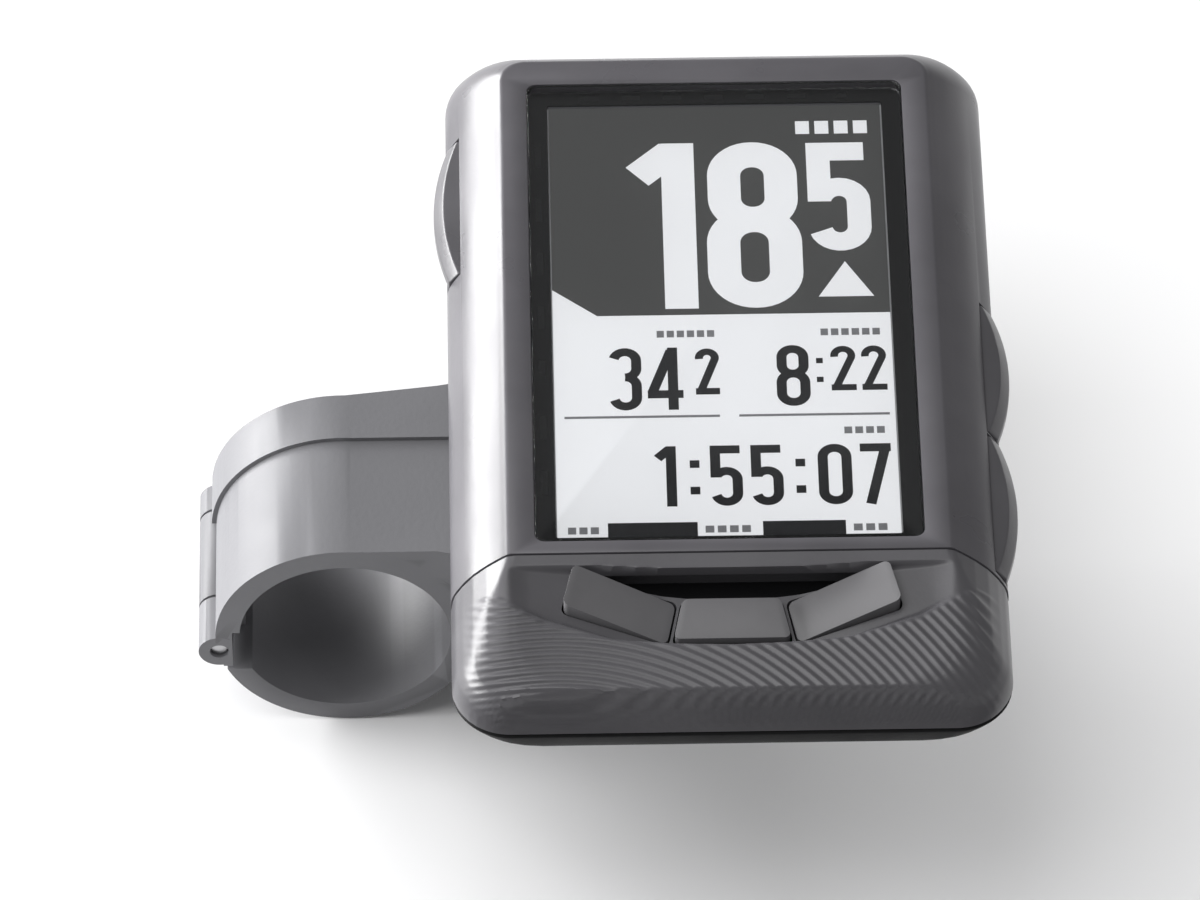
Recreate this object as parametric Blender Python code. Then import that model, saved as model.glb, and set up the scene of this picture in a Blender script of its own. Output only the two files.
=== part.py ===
"""Cycling computer on a quarter-turn aero-bar mount.

Row frame, metres: the origin is the centre of the clamp's tube bore, +Y runs forward along the tube,
+Z points up, square to the screen, and +X runs from the tube towards the computer.
Sizes below are in millimetres and are turned into metres where meshes are made.
"""

import math

import bmesh
import bpy
from mathutils import Matrix, Vector

MM = 0.001
GAP = 0.3  # clearance kept between neighbouring pieces

# Head unit, in its own frame: x and y from the twist axis, z up from the flat back of the rear case.
UNIT_ORIGIN = (40.0, -1.0, 17.0)  # twist axis and back plane, in the row frame
UNIT_WIDTH, UNIT_LENGTH, FACE_Z = 57.3, 90.7, 17.2
PARTING_Z = 8.0  # where the rear case meets the front case
WALL = 1.6
SEAM_Y = -29.0  # the front case ends here and the chin cover starts
CHIN_SLOPE = 0.21  # drop of the chin's surface for each millimetre below the seam

# Screen
SCREEN_Y = 4.25  # centre of the display
WINDOW_SIZE = (39.8, 63.8)
WINDOW_THICK = 1.0
LCD_SIZE = (36.0, 61.0)
LCD_TOP_Z, LCD_THICK = 15.8, 1.6
LEDGE_Z = 15.9  # shelf that the window rests on
FACE_UNDER_Z = 15.4

# Circuit board and what stands on it
PCB_SIZE, PCB_Z, PCB_THICK = (48.0, 80.0), 8.2, 0.9
PCB_TOP = PCB_Z + PCB_THICK + GAP
BATTERY_SIZE, BATTERY_CENTRE = (38.0, 48.0, 5.2), (0.0, 8.0, 4.8)
CASE_SCREWS = {"left_top": (-20.6, 36.6), "right_top": (20.6, 36.6),
               "left_bottom": (-20.6, -36.6), "right_bottom": (20.6, -36.6)}
BOSS_R, CASE_SCREW_R, CASE_HEAD_R = 2.3, 0.8, 1.7

# Buttons
PRESS_TRAVEL = 0.8
MIDDLE_KEY = [(-6.0, -37.9), (6.0, -37.9), (5.0, -33.4), (-5.0, -33.4)]
RIGHT_KEY = [(6.7, -38.0), (17.3, -35.1), (16.1, -30.4), (5.7, -33.4)]
LEFT_KEY = [(-x, y) for x, y in RIGHT_KEY[::-1]]
CHIN_KEYS = {"button_left": (LEFT_KEY, (-11.6, -34.5)), "button_centre": (MIDDLE_KEY, (0.0, -35.6)),
             "button_right": (RIGHT_KEY, (11.6, -34.5))}  # outline, and the place of the switch below
KEY_RISE, KEY_THICK, KEY_CORNER = 0.7, 2.0, 0.7
BOWL_DEPTH, BOWL_END_DEPTH = 2.0, 0.5  # how far the thumb dish drops at its middle and at its ends
BOWL_FLAT_X, BOWL_END_X = 7.0, 22.0
BOWL_STATIONS = [(-22.0, -30.8, -36.4), (-14.5, -30.6, -38.2), (-7.0, -31.0, -39.0),
                 (7.0, -31.0, -39.0), (14.5, -30.6, -38.2), (22.0, -30.8, -36.4)]  # x, upper y, lower y
SIDE_BUTTON_Z, SIDE_BUTTON_HEIGHT = 10.7, 3.6
SIDE_BUTTON_OUT, SIDE_BUTTON_IN = 30.0, 26.0
SIDE_BUTTONS = {"button_up": (1, -0.4, 17.5), "button_down": (1, -19.0, 18.4),
                "button_power": (-1, 23.4, 19.0)}

# Charging port
PORT_Y, PORT_SIZE = -30.0, (8.0, 3.0)
FLAP_SIZE, FLAP_THICK = (15.0, 9.0), 1.1

# Quarter-turn lock: the tab on the computer and the insert in the mount
TAB_NECK_R, TAB_EAR_R, TAB_BOTTOM_Z, EAR_TOP_Z = 9.2, 13.0, -4.0, -2.2
EAR_ANGLE = 70.0
LIP_INNER_R, POCKET_R, INSERT_R = 9.7, 13.5, 16.0
LIP_ANGLE, LIP_UNDER_Z, INSERT_TOP_Z = 76.0, -1.9, -0.6
POCKET_FLOOR_Z, INSERT_BOTTOM_Z = -4.4, -5.6
TAB_SCREW_X = 5.0

# Bar mount, in the row frame
BORE_R = 11.2  # takes a 22.2 mm aero-bar tube
RING_R, BAND_R = 14.2, 13.7
CLAMP_BACK, CLAMP_FRONT, STEP_Y = -12.0, 9.5, 3.5  # the clamp steps out from the band to the ring at STEP_Y
ARM_TOP, ARM_BOTTOM = 14.2, 9.4
CUP_R = 18.2
HINGE_X, HINGE_Z, HINGE_R, HINGE_PIN_R = -13.4, -2.2, 2.2, 0.9
JAW_R = 13.6
CLAMP_SCREW_X, CLAMP_SCREW_R = 17.4, 1.5
EAR_X = 21.6
SPLIT_Z = 0.8  # the arm ends above this on the screw side
HEEL_X = -11.8  # beyond this, on the hinge side, the arm reaches further down


# ---------------------------------------------------------------- scene set-up

def clear_scene():
    for obj in list(bpy.data.objects):
        bpy.data.objects.remove(obj)


def new_collection(name):
    made = bpy.data.collections.new(name)
    bpy.context.scene.collection.children.link(made)
    return made


def material(name, colour, roughness, metallic=0.0):
    made = bpy.data.materials.new(name)
    made.use_nodes = True
    shader = made.node_tree.nodes["Principled BSDF"]
    shader.inputs["Base Color"].default_value = (*colour, 1.0)
    shader.inputs["Roughness"].default_value = roughness
    shader.inputs["Metallic"].default_value = metallic
    return made


clear_scene()
PARTS = new_collection("cycling_computer")
CUTTERS = new_collection("cutters")
MAT = {
    "case": material("case_plastic", (0.075, 0.075, 0.082), 0.38),
    "chin": material("chin_plastic", (0.065, 0.065, 0.07), 0.5),
    "rear": material("rear_plastic", (0.03, 0.03, 0.033), 0.5),
    "button": material("button_rubber", (0.06, 0.06, 0.065), 0.55),
    "window": material("window_glass", (0.02, 0.02, 0.022), 0.05),
    "lcd": material("lcd_glass", (0.62, 0.63, 0.62), 0.3),
    "steel": material("screw_steel", (0.45, 0.45, 0.46), 0.3, 1.0),
    "board": material("circuit_board", (0.02, 0.09, 0.04), 0.5),
    "cell": material("battery_foil", (0.5, 0.5, 0.52), 0.4, 0.6),
    "ceramic": material("antenna_ceramic", (0.6, 0.52, 0.4), 0.6),
    "seal": material("seal_silicone", (0.12, 0.12, 0.12), 0.7),
    "mount": material("mount_plastic", (0.2, 0.2, 0.21), 0.45),
    "insert": material("insert_plastic", (0.04, 0.04, 0.045), 0.4),
}


def empty(name, location_mm):
    made = bpy.data.objects.new(name, None)
    made.location = Vector(location_mm) * MM
    CUTTERS.objects.link(made)
    return made


UNIT = empty("head_unit", UNIT_ORIGIN)
MOUNT = empty("bar_mount", (0.0, 0.0, 0.0))
bpy.context.view_layer.update()


# ---------------------------------------------------------------- shape makers

def finish(name, bm, parent, slot=None):
    """A named object from a bmesh drawn in millimetres. Without a material slot it is a cutter."""
    bmesh.ops.scale(bm, vec=(MM, MM, MM), verts=bm.verts)
    bmesh.ops.recalc_face_normals(bm, faces=bm.faces)
    mesh = bpy.data.meshes.new(name)
    bm.to_mesh(mesh)
    bm.free()
    obj = bpy.data.objects.new(name, mesh)
    obj.parent = parent
    if slot is None:
        obj.hide_render = True
        obj.display_type = "WIRE"
        CUTTERS.objects.link(obj)
    else:
        mesh.materials.append(MAT[slot])
        mesh.shade_smooth()
        mesh.set_sharp_from_angle(angle=math.radians(35))
        PARTS.objects.link(obj)
    return obj


def slab_mesh(size, centre, radius=0.0, segments=4, edge=0.0):
    """A box whose upright edges are rounded to radius and whose other edges are broken by edge."""
    bm = bmesh.new()
    bmesh.ops.create_cube(bm, size=1.0)
    bmesh.ops.scale(bm, vec=size, verts=bm.verts)
    if radius:
        upright = [e for e in bm.edges if abs(e.verts[0].co.z - e.verts[1].co.z) > 1e-6]
        bmesh.ops.bevel(bm, geom=upright, offset=radius, segments=segments, affect="EDGES", profile=0.5)
    if edge:
        flat = [e for e in bm.edges if abs(e.verts[0].co.z - e.verts[1].co.z) < 1e-6
                and e.calc_face_angle(0.0) > 0.8]
        bmesh.ops.bevel(bm, geom=flat, offset=edge, segments=1, affect="EDGES", profile=0.5)
    bmesh.ops.translate(bm, vec=centre, verts=bm.verts)
    return bm


def slab(name, size, centre, parent, slot=None, radius=0.0, edge=0.0, turn=None):
    bm = slab_mesh(size, (0, 0, 0), radius, edge=edge)
    if turn is not None:
        bmesh.ops.transform(bm, matrix=turn, verts=bm.verts)
    bmesh.ops.translate(bm, vec=centre, verts=bm.verts)
    return finish(name, bm, parent, slot)


def rod_mesh(radius, start, end, axis="Z", at=(0.0, 0.0), sides=24):
    """A cylinder along an axis from start to end; at holds its other two coordinates in x, y, z order."""
    bm = bmesh.new()
    bmesh.ops.create_cone(bm, cap_ends=True, segments=sides, radius1=radius, radius2=radius,
                          depth=end - start)
    middle = (start + end) / 2
    if axis == "Z":
        place = Matrix.Translation((at[0], at[1], middle))
    else:
        place = Matrix.Translation((at[0], middle, at[1])) @ Matrix.Rotation(math.pi / 2, 4, "X")
    bmesh.ops.transform(bm, matrix=place, verts=bm.verts)
    return bm


def rod(name, radius, start, end, parent, slot=None, axis="Z", at=(0.0, 0.0), sides=24):
    return finish(name, rod_mesh(radius, start, end, axis, at, sides), parent, slot)


def prism_mesh(outline, low, high):
    """A closed outline in x and y, raised from low to high."""
    bm = bmesh.new()
    face = bm.faces.new([bm.verts.new((x, y, low)) for x, y in outline])
    raised = bmesh.ops.extrude_face_region(bm, geom=[face])["geom"]
    moved = [v for v in raised if isinstance(v, bmesh.types.BMVert)]
    bmesh.ops.translate(bm, vec=(0, 0, high - low), verts=moved)
    return bm


def prism(name, outline, low, high, parent, slot=None):
    return finish(name, prism_mesh(outline, low, high), parent, slot)


def arc(centre, radius, start, end, steps):
    """Points on a circle from start to end degrees, both ends included."""
    angles = [math.radians(start + (end - start) * i / steps) for i in range(steps + 1)]
    return [(centre[0] + radius * math.cos(a), centre[1] + radius * math.sin(a)) for a in angles]


def ring_points(half_x, low_y, high_y, low_r, high_r, steps=5):
    """A rounded rectangle, anticlockwise from its lower left. A radius of 0 leaves that corner square."""
    points = []
    for x_side, y_end, radius, start in ((-1, low_y, low_r, 180), (1, low_y, low_r, 270),
                                         (1, high_y, high_r, 0), (-1, high_y, high_r, 90)):
        if not radius:
            points.append((x_side * half_x, y_end))
            continue
        inward = 1 if y_end == low_y else -1
        centre = (x_side * (half_x - radius), y_end + inward * radius)
        points += arc(centre, radius, start, start + 90, steps)
    return points


def loft_mesh(rings):
    """A closed skin through rings of points, each with the same count."""
    bm = bmesh.new()
    loops = [[bm.verts.new(p) for p in ring] for ring in rings]
    count = len(loops[0])
    for below, above in zip(loops, loops[1:]):
        for i in range(count):
            j = (i + 1) % count
            bm.faces.new((below[i], below[j], above[j], above[i]))
    bm.faces.new(loops[0][::-1])
    bm.faces.new(loops[-1])
    bmesh.ops.triangulate(bm, faces=bm.faces)
    return bm


def boolean(target, tool, operation="DIFFERENCE"):
    made = target.modifiers.new(operation.lower() + "_" + tool.name, "BOOLEAN")
    made.operation = operation
    made.solver = "EXACT"
    made.object = tool
    return target


def cut(target, *tools):
    for tool in tools:
        boolean(target, tool)
    return target


def join(target, *tools):
    for tool in tools:
        boolean(target, tool, "UNION")
    return target


# ---------------------------------------------------------------- casings of the head unit

HALF_W, HALF_L = UNIT_WIDTH / 2, UNIT_LENGTH / 2


def front_ring(z, half_x, high_y, high_r, low_y=SEAM_Y):
    return [(x, y, z) for x, y in ring_points(half_x, low_y, high_y, 0, high_r)]


def chin_ring(z, half_x, low_y, low_r, slope, high_y=SEAM_Y - GAP):
    """A chin section, which drops by slope for each millimetre below the seam."""
    return [(x, y, z - slope * (SEAM_Y - y)) for x, y in ring_points(half_x, low_y, high_y, low_r, 0)]


def make_front_case():
    rings = [
        front_ring(PARTING_Z + GAP / 2, HALF_W - 0.1, HALF_L - 0.1, 6.0),
        front_ring(9.6, HALF_W, HALF_L, 6.0),
        front_ring(10.8, HALF_W - 0.3, HALF_L - 0.3, 5.8),
        front_ring(13.8, 26.5, 43.4, 5.0),
        front_ring(16.5, 23.6, 40.9, 3.4),
        front_ring(17.0, 22.85, 40.2, 2.8),
        front_ring(FACE_Z, 22.5, 39.85, 2.5),
    ]
    case = finish("front_case", loft_mesh(rings), UNIT, "case")
    inner = [
        front_ring(PARTING_Z - 1, HALF_W - WALL, HALF_L - WALL, 4.6, SEAM_Y - 1),
        front_ring(10.6, HALF_W - WALL, HALF_L - WALL, 4.6, SEAM_Y - 1),
        front_ring(13.2, 25.2, 42.0, 4.0, SEAM_Y - 1),
        front_ring(FACE_UNDER_Z, 22.9, 40.0, 3.0, SEAM_Y - 1),
    ]
    cut(case, finish("cut_front_cavity", loft_mesh(inner), UNIT))
    width, length = WINDOW_SIZE
    cut(case, slab("cut_window_seat", (width + 2 * GAP, length + 2 * GAP, 4.0),
                   (0, SCREEN_Y + 0.4, LEDGE_Z + 2.0), UNIT, radius=1.2))
    cut(case, slab("cut_screen_opening", (LCD_SIZE[0] + 2 * GAP, LCD_SIZE[1] + 2 * GAP, 8.0),
                   (0, SCREEN_Y, 14.0), UNIT, radius=0.6))
    for name, (side, y, length) in SIDE_BUTTONS.items():
        cut(case, slab("cut_" + name, (7.0, length + 2 * GAP, SIDE_BUTTON_HEIGHT + 2 * GAP),
                       (side * 28.0, y, SIDE_BUTTON_Z), UNIT))
    for key in ("left_top", "right_top"):
        add_boss(case, key, 11.2, FACE_UNDER_Z + 0.4)
    return case


def add_boss(case, key, low, high):
    """A screw boss that hangs from the inside of a casing, with a blind hole for its screw."""
    x, y = CASE_SCREWS[key]
    join(case, rod("boss_" + key, BOSS_R, low, high, UNIT, at=(x, y), sides=16))
    cut(case, rod("cut_boss_" + key, CASE_SCREW_R + GAP, low - 1, 13.9, UNIT, at=(x, y), sides=12))


def chin_surface(y):
    return FACE_Z - CHIN_SLOPE * (SEAM_Y - y)


def bowl_floor(x, y):
    """Height of the thumb dish's floor: deep across its middle, rising towards both ends."""
    share = min(1.0, max(0.0, (abs(x) - BOWL_FLAT_X) / (BOWL_END_X - BOWL_FLAT_X)))
    return chin_surface(y) - BOWL_DEPTH * (1 - share) - BOWL_END_DEPTH * share


def bowl_mesh():
    """The cutter for the thumb dish, lofted across the chin from left to right."""
    rings = []
    for x, high_y, low_y in BOWL_STATIONS:
        corners = ((low_y, 0), (high_y, 0), (high_y, 1), (low_y, 1))
        rings.append([(x, y, 20.0 if top else bowl_floor(x, y)) for y, top in corners])
    return loft_mesh(rings)


def grown(outline, by):
    """A convex outline about its own middle, wider and longer by twice the distance given."""
    xs, ys = [p[0] for p in outline], [p[1] for p in outline]
    middle = ((max(xs) + min(xs)) / 2, (max(ys) + min(ys)) / 2)
    size = (max(xs) - min(xs), max(ys) - min(ys))
    return [tuple(m + (v - m) * (1 + 2 * by / d) for v, m, d in zip(p, middle, size)) for p in outline]


def key_mesh(outline, low, high):
    """An outline with rounded corners, raised from low to high."""
    bm = prism_mesh(outline, low, high)
    upright = [e for e in bm.edges if abs(e.verts[0].co.z - e.verts[1].co.z) > 1e-6]
    bmesh.ops.bevel(bm, geom=upright, offset=KEY_CORNER, segments=3, affect="EDGES", profile=0.5)
    return bm


def make_chin_cover():
    top_z = PARTING_Z + GAP / 2
    rings = [
        chin_ring(top_z, HALF_W - 0.1, -HALF_L + 0.1, 6.0, 0),
        chin_ring(9.6, HALF_W, -HALF_L, 6.0, 0),
        chin_ring(10.8, HALF_W - 0.3, -HALF_L + 0.1, 5.9, 0.02),
        chin_ring(13.8, 26.5, -HALF_L + 0.3, 5.6, 0.07),
        chin_ring(16.5, 23.6, -HALF_L + 0.8, 5.2, 0.18),
        chin_ring(17.0, 22.85, -HALF_L + 1.2, 5.0, 0.2),
        chin_ring(FACE_Z, 22.5, -HALF_L + 1.7, 4.8, CHIN_SLOPE),
    ]
    cover = finish("chin_cover", loft_mesh(rings), UNIT, "chin")
    inner = [
        chin_ring(PARTING_Z - 1, HALF_W - WALL, -HALF_L + WALL, 4.4, 0, SEAM_Y + 1),
        chin_ring(10.6, HALF_W - WALL, -HALF_L + WALL, 4.4, 0, SEAM_Y + 1),
        chin_ring(12.2, 25.6, -HALF_L + 2.2, 4.0, 0.09, SEAM_Y + 1),
        chin_ring(13.4, 24.6, -HALF_L + 3.2, 3.6, 0.12, SEAM_Y + 1),
    ]
    cut(cover, finish("cut_chin_cavity", loft_mesh(inner), UNIT))
    cut(cover, finish("cut_bowl", bowl_mesh(), UNIT))
    for name, (outline, _) in CHIN_KEYS.items():
        cut(cover, finish("cut_" + name, key_mesh(grown(outline, GAP), 7.0, 19.0), UNIT))
    for key in ("left_bottom", "right_bottom"):
        add_boss(cover, key, 11.2, 13.4)
    return cover


def make_rear_case():
    def ring(z, half_x, half_y, radius):
        return [(x, y, z) for x, y in ring_points(half_x, -half_y, half_y, radius, radius)]

    rings = [
        ring(0.0, 23.4, 39.8, 5.0),
        ring(0.5, 24.2, 40.6, 5.4),
        ring(2.0, 25.4, 41.9, 6.0),
        ring(4.6, 27.3, 43.8, 6.2),
        ring(PARTING_Z - GAP / 2, HALF_W - 0.1, HALF_L - 0.1, 6.0),
    ]
    case = finish("rear_case", loft_mesh(rings), UNIT, "rear")
    inner = [
        ring(WALL, 23.4, 39.8, 4.6),
        ring(4.6, 25.6, 42.1, 4.8),
        ring(PARTING_Z + 1, HALF_W - 0.1 - WALL, HALF_L - 0.1 - WALL, 4.6),
    ]
    cut(case, finish("cut_rear_cavity", loft_mesh(inner), UNIT))
    for key, (x, y) in CASE_SCREWS.items():
        join(case, rod("post_" + key, 2.7, 0.8, 6.9, UNIT, at=(x, y), sides=16))
        cut(case, rod("cut_screw_" + key, CASE_SCREW_R + GAP, -1, 8, UNIT, at=(x, y), sides=12))
        cut(case, rod("cut_head_" + key, CASE_HEAD_R + GAP, -1, 1.8, UNIT, at=(x, y), sides=16))
    for side in (-1, 1):
        cut(case, rod(f"cut_tab_screw_{side}", CASE_SCREW_R + GAP, -1, 3, UNIT,
                      at=(side * TAB_SCREW_X, 0), sides=12))
    cut(case, slab("cut_port", (PORT_SIZE[0] + 2 * GAP, PORT_SIZE[1] + 2 * GAP, 6.0),
                   (0, PORT_Y, 1.0), UNIT))
    cut(case, slab("cut_flap_seat", (FLAP_SIZE[0] + 2 * GAP, FLAP_SIZE[1] + 2 * GAP, 4.0),
                   (0, PORT_Y, -0.8), UNIT, radius=2.0))
    return case


# ---------------------------------------------------------------- screen and electronics

def make_screen():
    slab("window_lens", (*WINDOW_SIZE, WINDOW_THICK),
         (0, SCREEN_Y + 0.4, FACE_Z - WINDOW_THICK / 2), UNIT, "window", radius=0.9)
    slab("lcd_panel", (*LCD_SIZE, LCD_THICK), (0, SCREEN_Y, LCD_TOP_Z - LCD_THICK / 2), UNIT, "lcd",
         radius=0.3)
    bracket = slab("lcd_bracket", (35.4, 61.0, 0.8), (0, SCREEN_Y, 13.5), UNIT, "steel", radius=1.0)
    cut(bracket, slab("cut_bracket", (28.0, 46.0, 4.0), (0, SCREEN_Y, 13.5), UNIT, radius=2.0))
    add_led_board("led_board_left", (-20.9, SCREEN_Y), vertical=True)
    add_led_board("led_board_top", (0.0, 38.0), vertical=False)


def add_led_board(name, centre, vertical):
    """A narrow board under the window's black edge, with seven small light emitters."""
    size = (2.6, 56.0, 0.6) if vertical else (32.0, 2.6, 0.6)
    board = slab(name, size, (*centre, 14.0), UNIT, "board")
    pitch = 7.6 if vertical else 4.4
    for i in range(-3, 4):
        shift = (0, i * pitch) if vertical else (i * pitch, 0)
        join(board, slab(f"emitter_{name}_{i + 3}", (1.4, 1.4, 0.8),
                         (centre[0] + shift[0], centre[1] + shift[1], 14.5), UNIT))


def make_board():
    board = slab("main_pcb", (*PCB_SIZE, PCB_THICK), (0, 0, PCB_Z + PCB_THICK / 2), UNIT, "board",
                 radius=3.0)
    for key, (x, y) in CASE_SCREWS.items():
        corner = (math.copysign(abs(x) + 1.2, x), math.copysign(abs(y) + 1.2, y), PCB_Z)
        cut(board, slab("cut_pcb_" + key, (8.6, 8.6, 4.0), corner, UNIT))
    on_board = {
        "shield_can": ((20.0, 15.0, 1.6), (-8.0, 2.0), "steel"),
        "gnss_antenna": ((15.0, 15.0, 2.6), (9.0, 24.0), "ceramic"),
        "altimeter_sensor": ((3.4, 3.4, 1.1), (15.0, -20.0), "steel"),
    }
    for name, (_, at) in CHIN_KEYS.items():
        on_board[name.replace("button", "switch")] = ((5.2, 4.0, 1.6), at, "insert")
    for name, (size, (x, y), slot) in on_board.items():
        slab(name, size, (x, y, PCB_TOP + size[2] / 2), UNIT, slot, radius=0.4)
    for name, (side, y, _) in SIDE_BUTTONS.items():
        slab(name.replace("button", "switch"), (2.4, 5.0, 2.4), (side * 22.0, y, PCB_TOP + 1.2),
             UNIT, "insert", radius=0.3)
    rod("buzzer", 5.5, PCB_TOP, PCB_TOP + 2.2, UNIT, "insert", at=(14.0, -8.0), sides=32)
    slab("battery", BATTERY_SIZE, BATTERY_CENTRE, UNIT, "cell", radius=1.2, edge=0.5)
    socket = slab("usb_socket", (*PORT_SIZE, 5.4), (0, PORT_Y, 5.0), UNIT, "steel")
    cut(socket, slab("cut_socket", (6.8, 1.8, 5.0), (0, PORT_Y, 4.0), UNIT))


def make_seal():
    """The silicone cord that the two casings squeeze between them, just inside their walls."""
    half_x, half_y = HALF_W - WALL - 0.9, HALF_L - WALL - 0.9
    outer = ring_points(half_x, -half_y, half_y, 4.2, 4.2)
    seal = prism("perimeter_seal", outer, PARTING_Z - 0.8, PARTING_Z + 0.5, UNIT, "seal")
    inner = ring_points(half_x - 1.0, -half_y + 1.0, half_y - 1.0, 3.2, 3.2)
    cut(seal, prism("cut_seal", inner, 0, 20, UNIT))


# ---------------------------------------------------------------- buttons, flap and screws of the unit

def make_buttons():
    for name, (outline, at) in CHIN_KEYS.items():
        bm = key_mesh(outline, 0.0, 1.0)
        for v in bm.verts:
            v.co.z = bowl_floor(v.co.x, v.co.y) + KEY_RISE - (KEY_THICK if v.co.z < 0.5 else 0.0)
        bmesh.ops.triangulate(bm, faces=bm.faces)
        cap = finish(name, bm, UNIT, "button")
        add_stem(cap, at, bowl_floor(*at) + KEY_RISE - 1.2)
    for name, (side, y, span) in SIDE_BUTTONS.items():
        make_side_button(name, side, y, span)


def add_stem(cap, at, top):
    """The peg under a button that reaches its switch when it is pressed."""
    join(cap, rod("stem_" + cap.name, 1.2, PCB_TOP + 1.6 + PRESS_TRAVEL + 0.2, top, UNIT, at=at, sides=12))


def make_side_button(name, side, y, span):
    """A button on the rim: a shallow arc outside the casing, with a peg towards its switch."""
    base, out = HALF_W - 0.2, SIDE_BUTTON_OUT
    rise = out - base
    radius = (span * span / 4 + rise * rise) / (2 * rise)
    sweep = math.degrees(math.asin(span / 2 / radius))
    outline = arc((out - radius, 0), radius, -sweep, sweep, 10)
    outline += [(SIDE_BUTTON_IN, span / 2), (SIDE_BUTTON_IN, -span / 2)]
    half = SIDE_BUTTON_HEIGHT / 2
    bm = prism_mesh(outline, -half, half)
    if side < 0:
        bmesh.ops.rotate(bm, matrix=Matrix.Rotation(math.pi, 3, "Z"), verts=bm.verts)
    bmesh.ops.translate(bm, vec=(0, y, SIDE_BUTTON_Z), verts=bm.verts)
    cap = finish(name, bm, UNIT, "button")
    join(cap, slab("peg_" + name, (2.2, 3.0, 1.6), (side * (SIDE_BUTTON_IN - 0.6), y, SIDE_BUTTON_Z), UNIT))


def make_flap():
    flap = slab("usb_flap", (*FLAP_SIZE, FLAP_THICK), (0, PORT_Y, 1.2 - GAP - FLAP_THICK / 2), UNIT,
                "seal", radius=1.8)
    return flap


def make_screw(name, shaft_r, head_r, head, tip, at, socket_r, parent):
    """A socket-head screw along Z: head is its (low, high) and the shaft ends at tip."""
    low, high = head
    points_up = tip > high
    body = rod(name, head_r, low, high, parent, "steel", at=at, sides=20)
    inner = (high - 0.2, tip) if points_up else (tip, low + 0.2)
    join(body, rod("shaft_" + name, shaft_r, *inner, parent, at=at, sides=12))
    depth = 0.6 * (high - low)
    recess = (low - 1, low + depth) if points_up else (high - depth, high + 1)
    cut(body, rod("cut_socket_" + name, socket_r, *recess, parent, at=at, sides=6))
    return body


def make_unit_screws():
    for key, (x, y) in CASE_SCREWS.items():
        make_screw("case_screw_" + key, CASE_SCREW_R, CASE_HEAD_R, (0.2, 1.5), 13.4, (x, y), 0.8, UNIT)
    for side, key in ((-1, "left"), (1, "right")):
        make_screw("tab_screw_" + key, CASE_SCREW_R, CASE_HEAD_R, (-3.8, -2.6), 1.9,
                   (side * TAB_SCREW_X, 0), 0.8, UNIT)


def sector(inner_r, outer_r, middle, spread, steps=8):
    """An outline between two radii, spread degrees wide about middle."""
    low, high = middle - spread / 2, middle + spread / 2
    return arc((0, 0), outer_r, low, high, steps) + arc((0, 0), inner_r, high, low, steps)


def make_mount_tab():
    tab = rod("mount_tab", TAB_NECK_R, TAB_BOTTOM_Z, -GAP, UNIT, "insert", sides=40)
    for side, middle in (("left", 180), ("right", 0)):
        ear = sector(6.0, TAB_EAR_R, middle, EAR_ANGLE)
        join(tab, prism("ear_" + side, ear, TAB_BOTTOM_Z, EAR_TOP_Z, UNIT))
    for side in (-1, 1):
        at = (side * TAB_SCREW_X, 0)
        cut(tab, rod(f"cut_tab_{side}", CASE_SCREW_R + GAP, -6, 1, UNIT, at=at, sides=12))
        cut(tab, rod(f"cut_tab_head_{side}", CASE_HEAD_R + GAP, -6, -2.3, UNIT, at=at, sides=16))
    return tab


# ---------------------------------------------------------------- bar mount

CLAMP_MIDDLE = (CLAMP_BACK + CLAMP_FRONT) / 2


def unit_z(z):
    """A height in the row frame for one measured in the head unit's frame."""
    return z + UNIT_ORIGIN[2]


def make_lock_insert():
    """The replaceable socket in the mount: a cup with two lips that hold the tab's ears down."""
    cup = rod("lock_insert", INSERT_R, INSERT_BOTTOM_Z, INSERT_TOP_Z, UNIT, "insert", sides=40)
    cut(cup, rod("cut_pocket", POCKET_R, POCKET_FLOOR_Z, LIP_UNDER_Z, UNIT, sides=40))
    cut(cup, rod("cut_mouth", LIP_INNER_R, POCKET_FLOOR_Z + 0.5, 1.0, UNIT, sides=40))
    open_angle = 180 - LIP_ANGLE
    for key, middle in (("front", 90), ("back", -90)):
        cut(cup, prism("cut_entry_" + key, sector(6.0, POCKET_R - 0.2, middle, open_angle),
                       POCKET_FLOOR_Z + 0.7, 1.0, UNIT))
    for side in (-1, 1):
        at = (side * 6.0, 0)
        cut(cup, rod(f"cut_insert_screw_{side}", CASE_SCREW_R + GAP, -8, 0, UNIT, at=at, sides=12))


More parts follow.
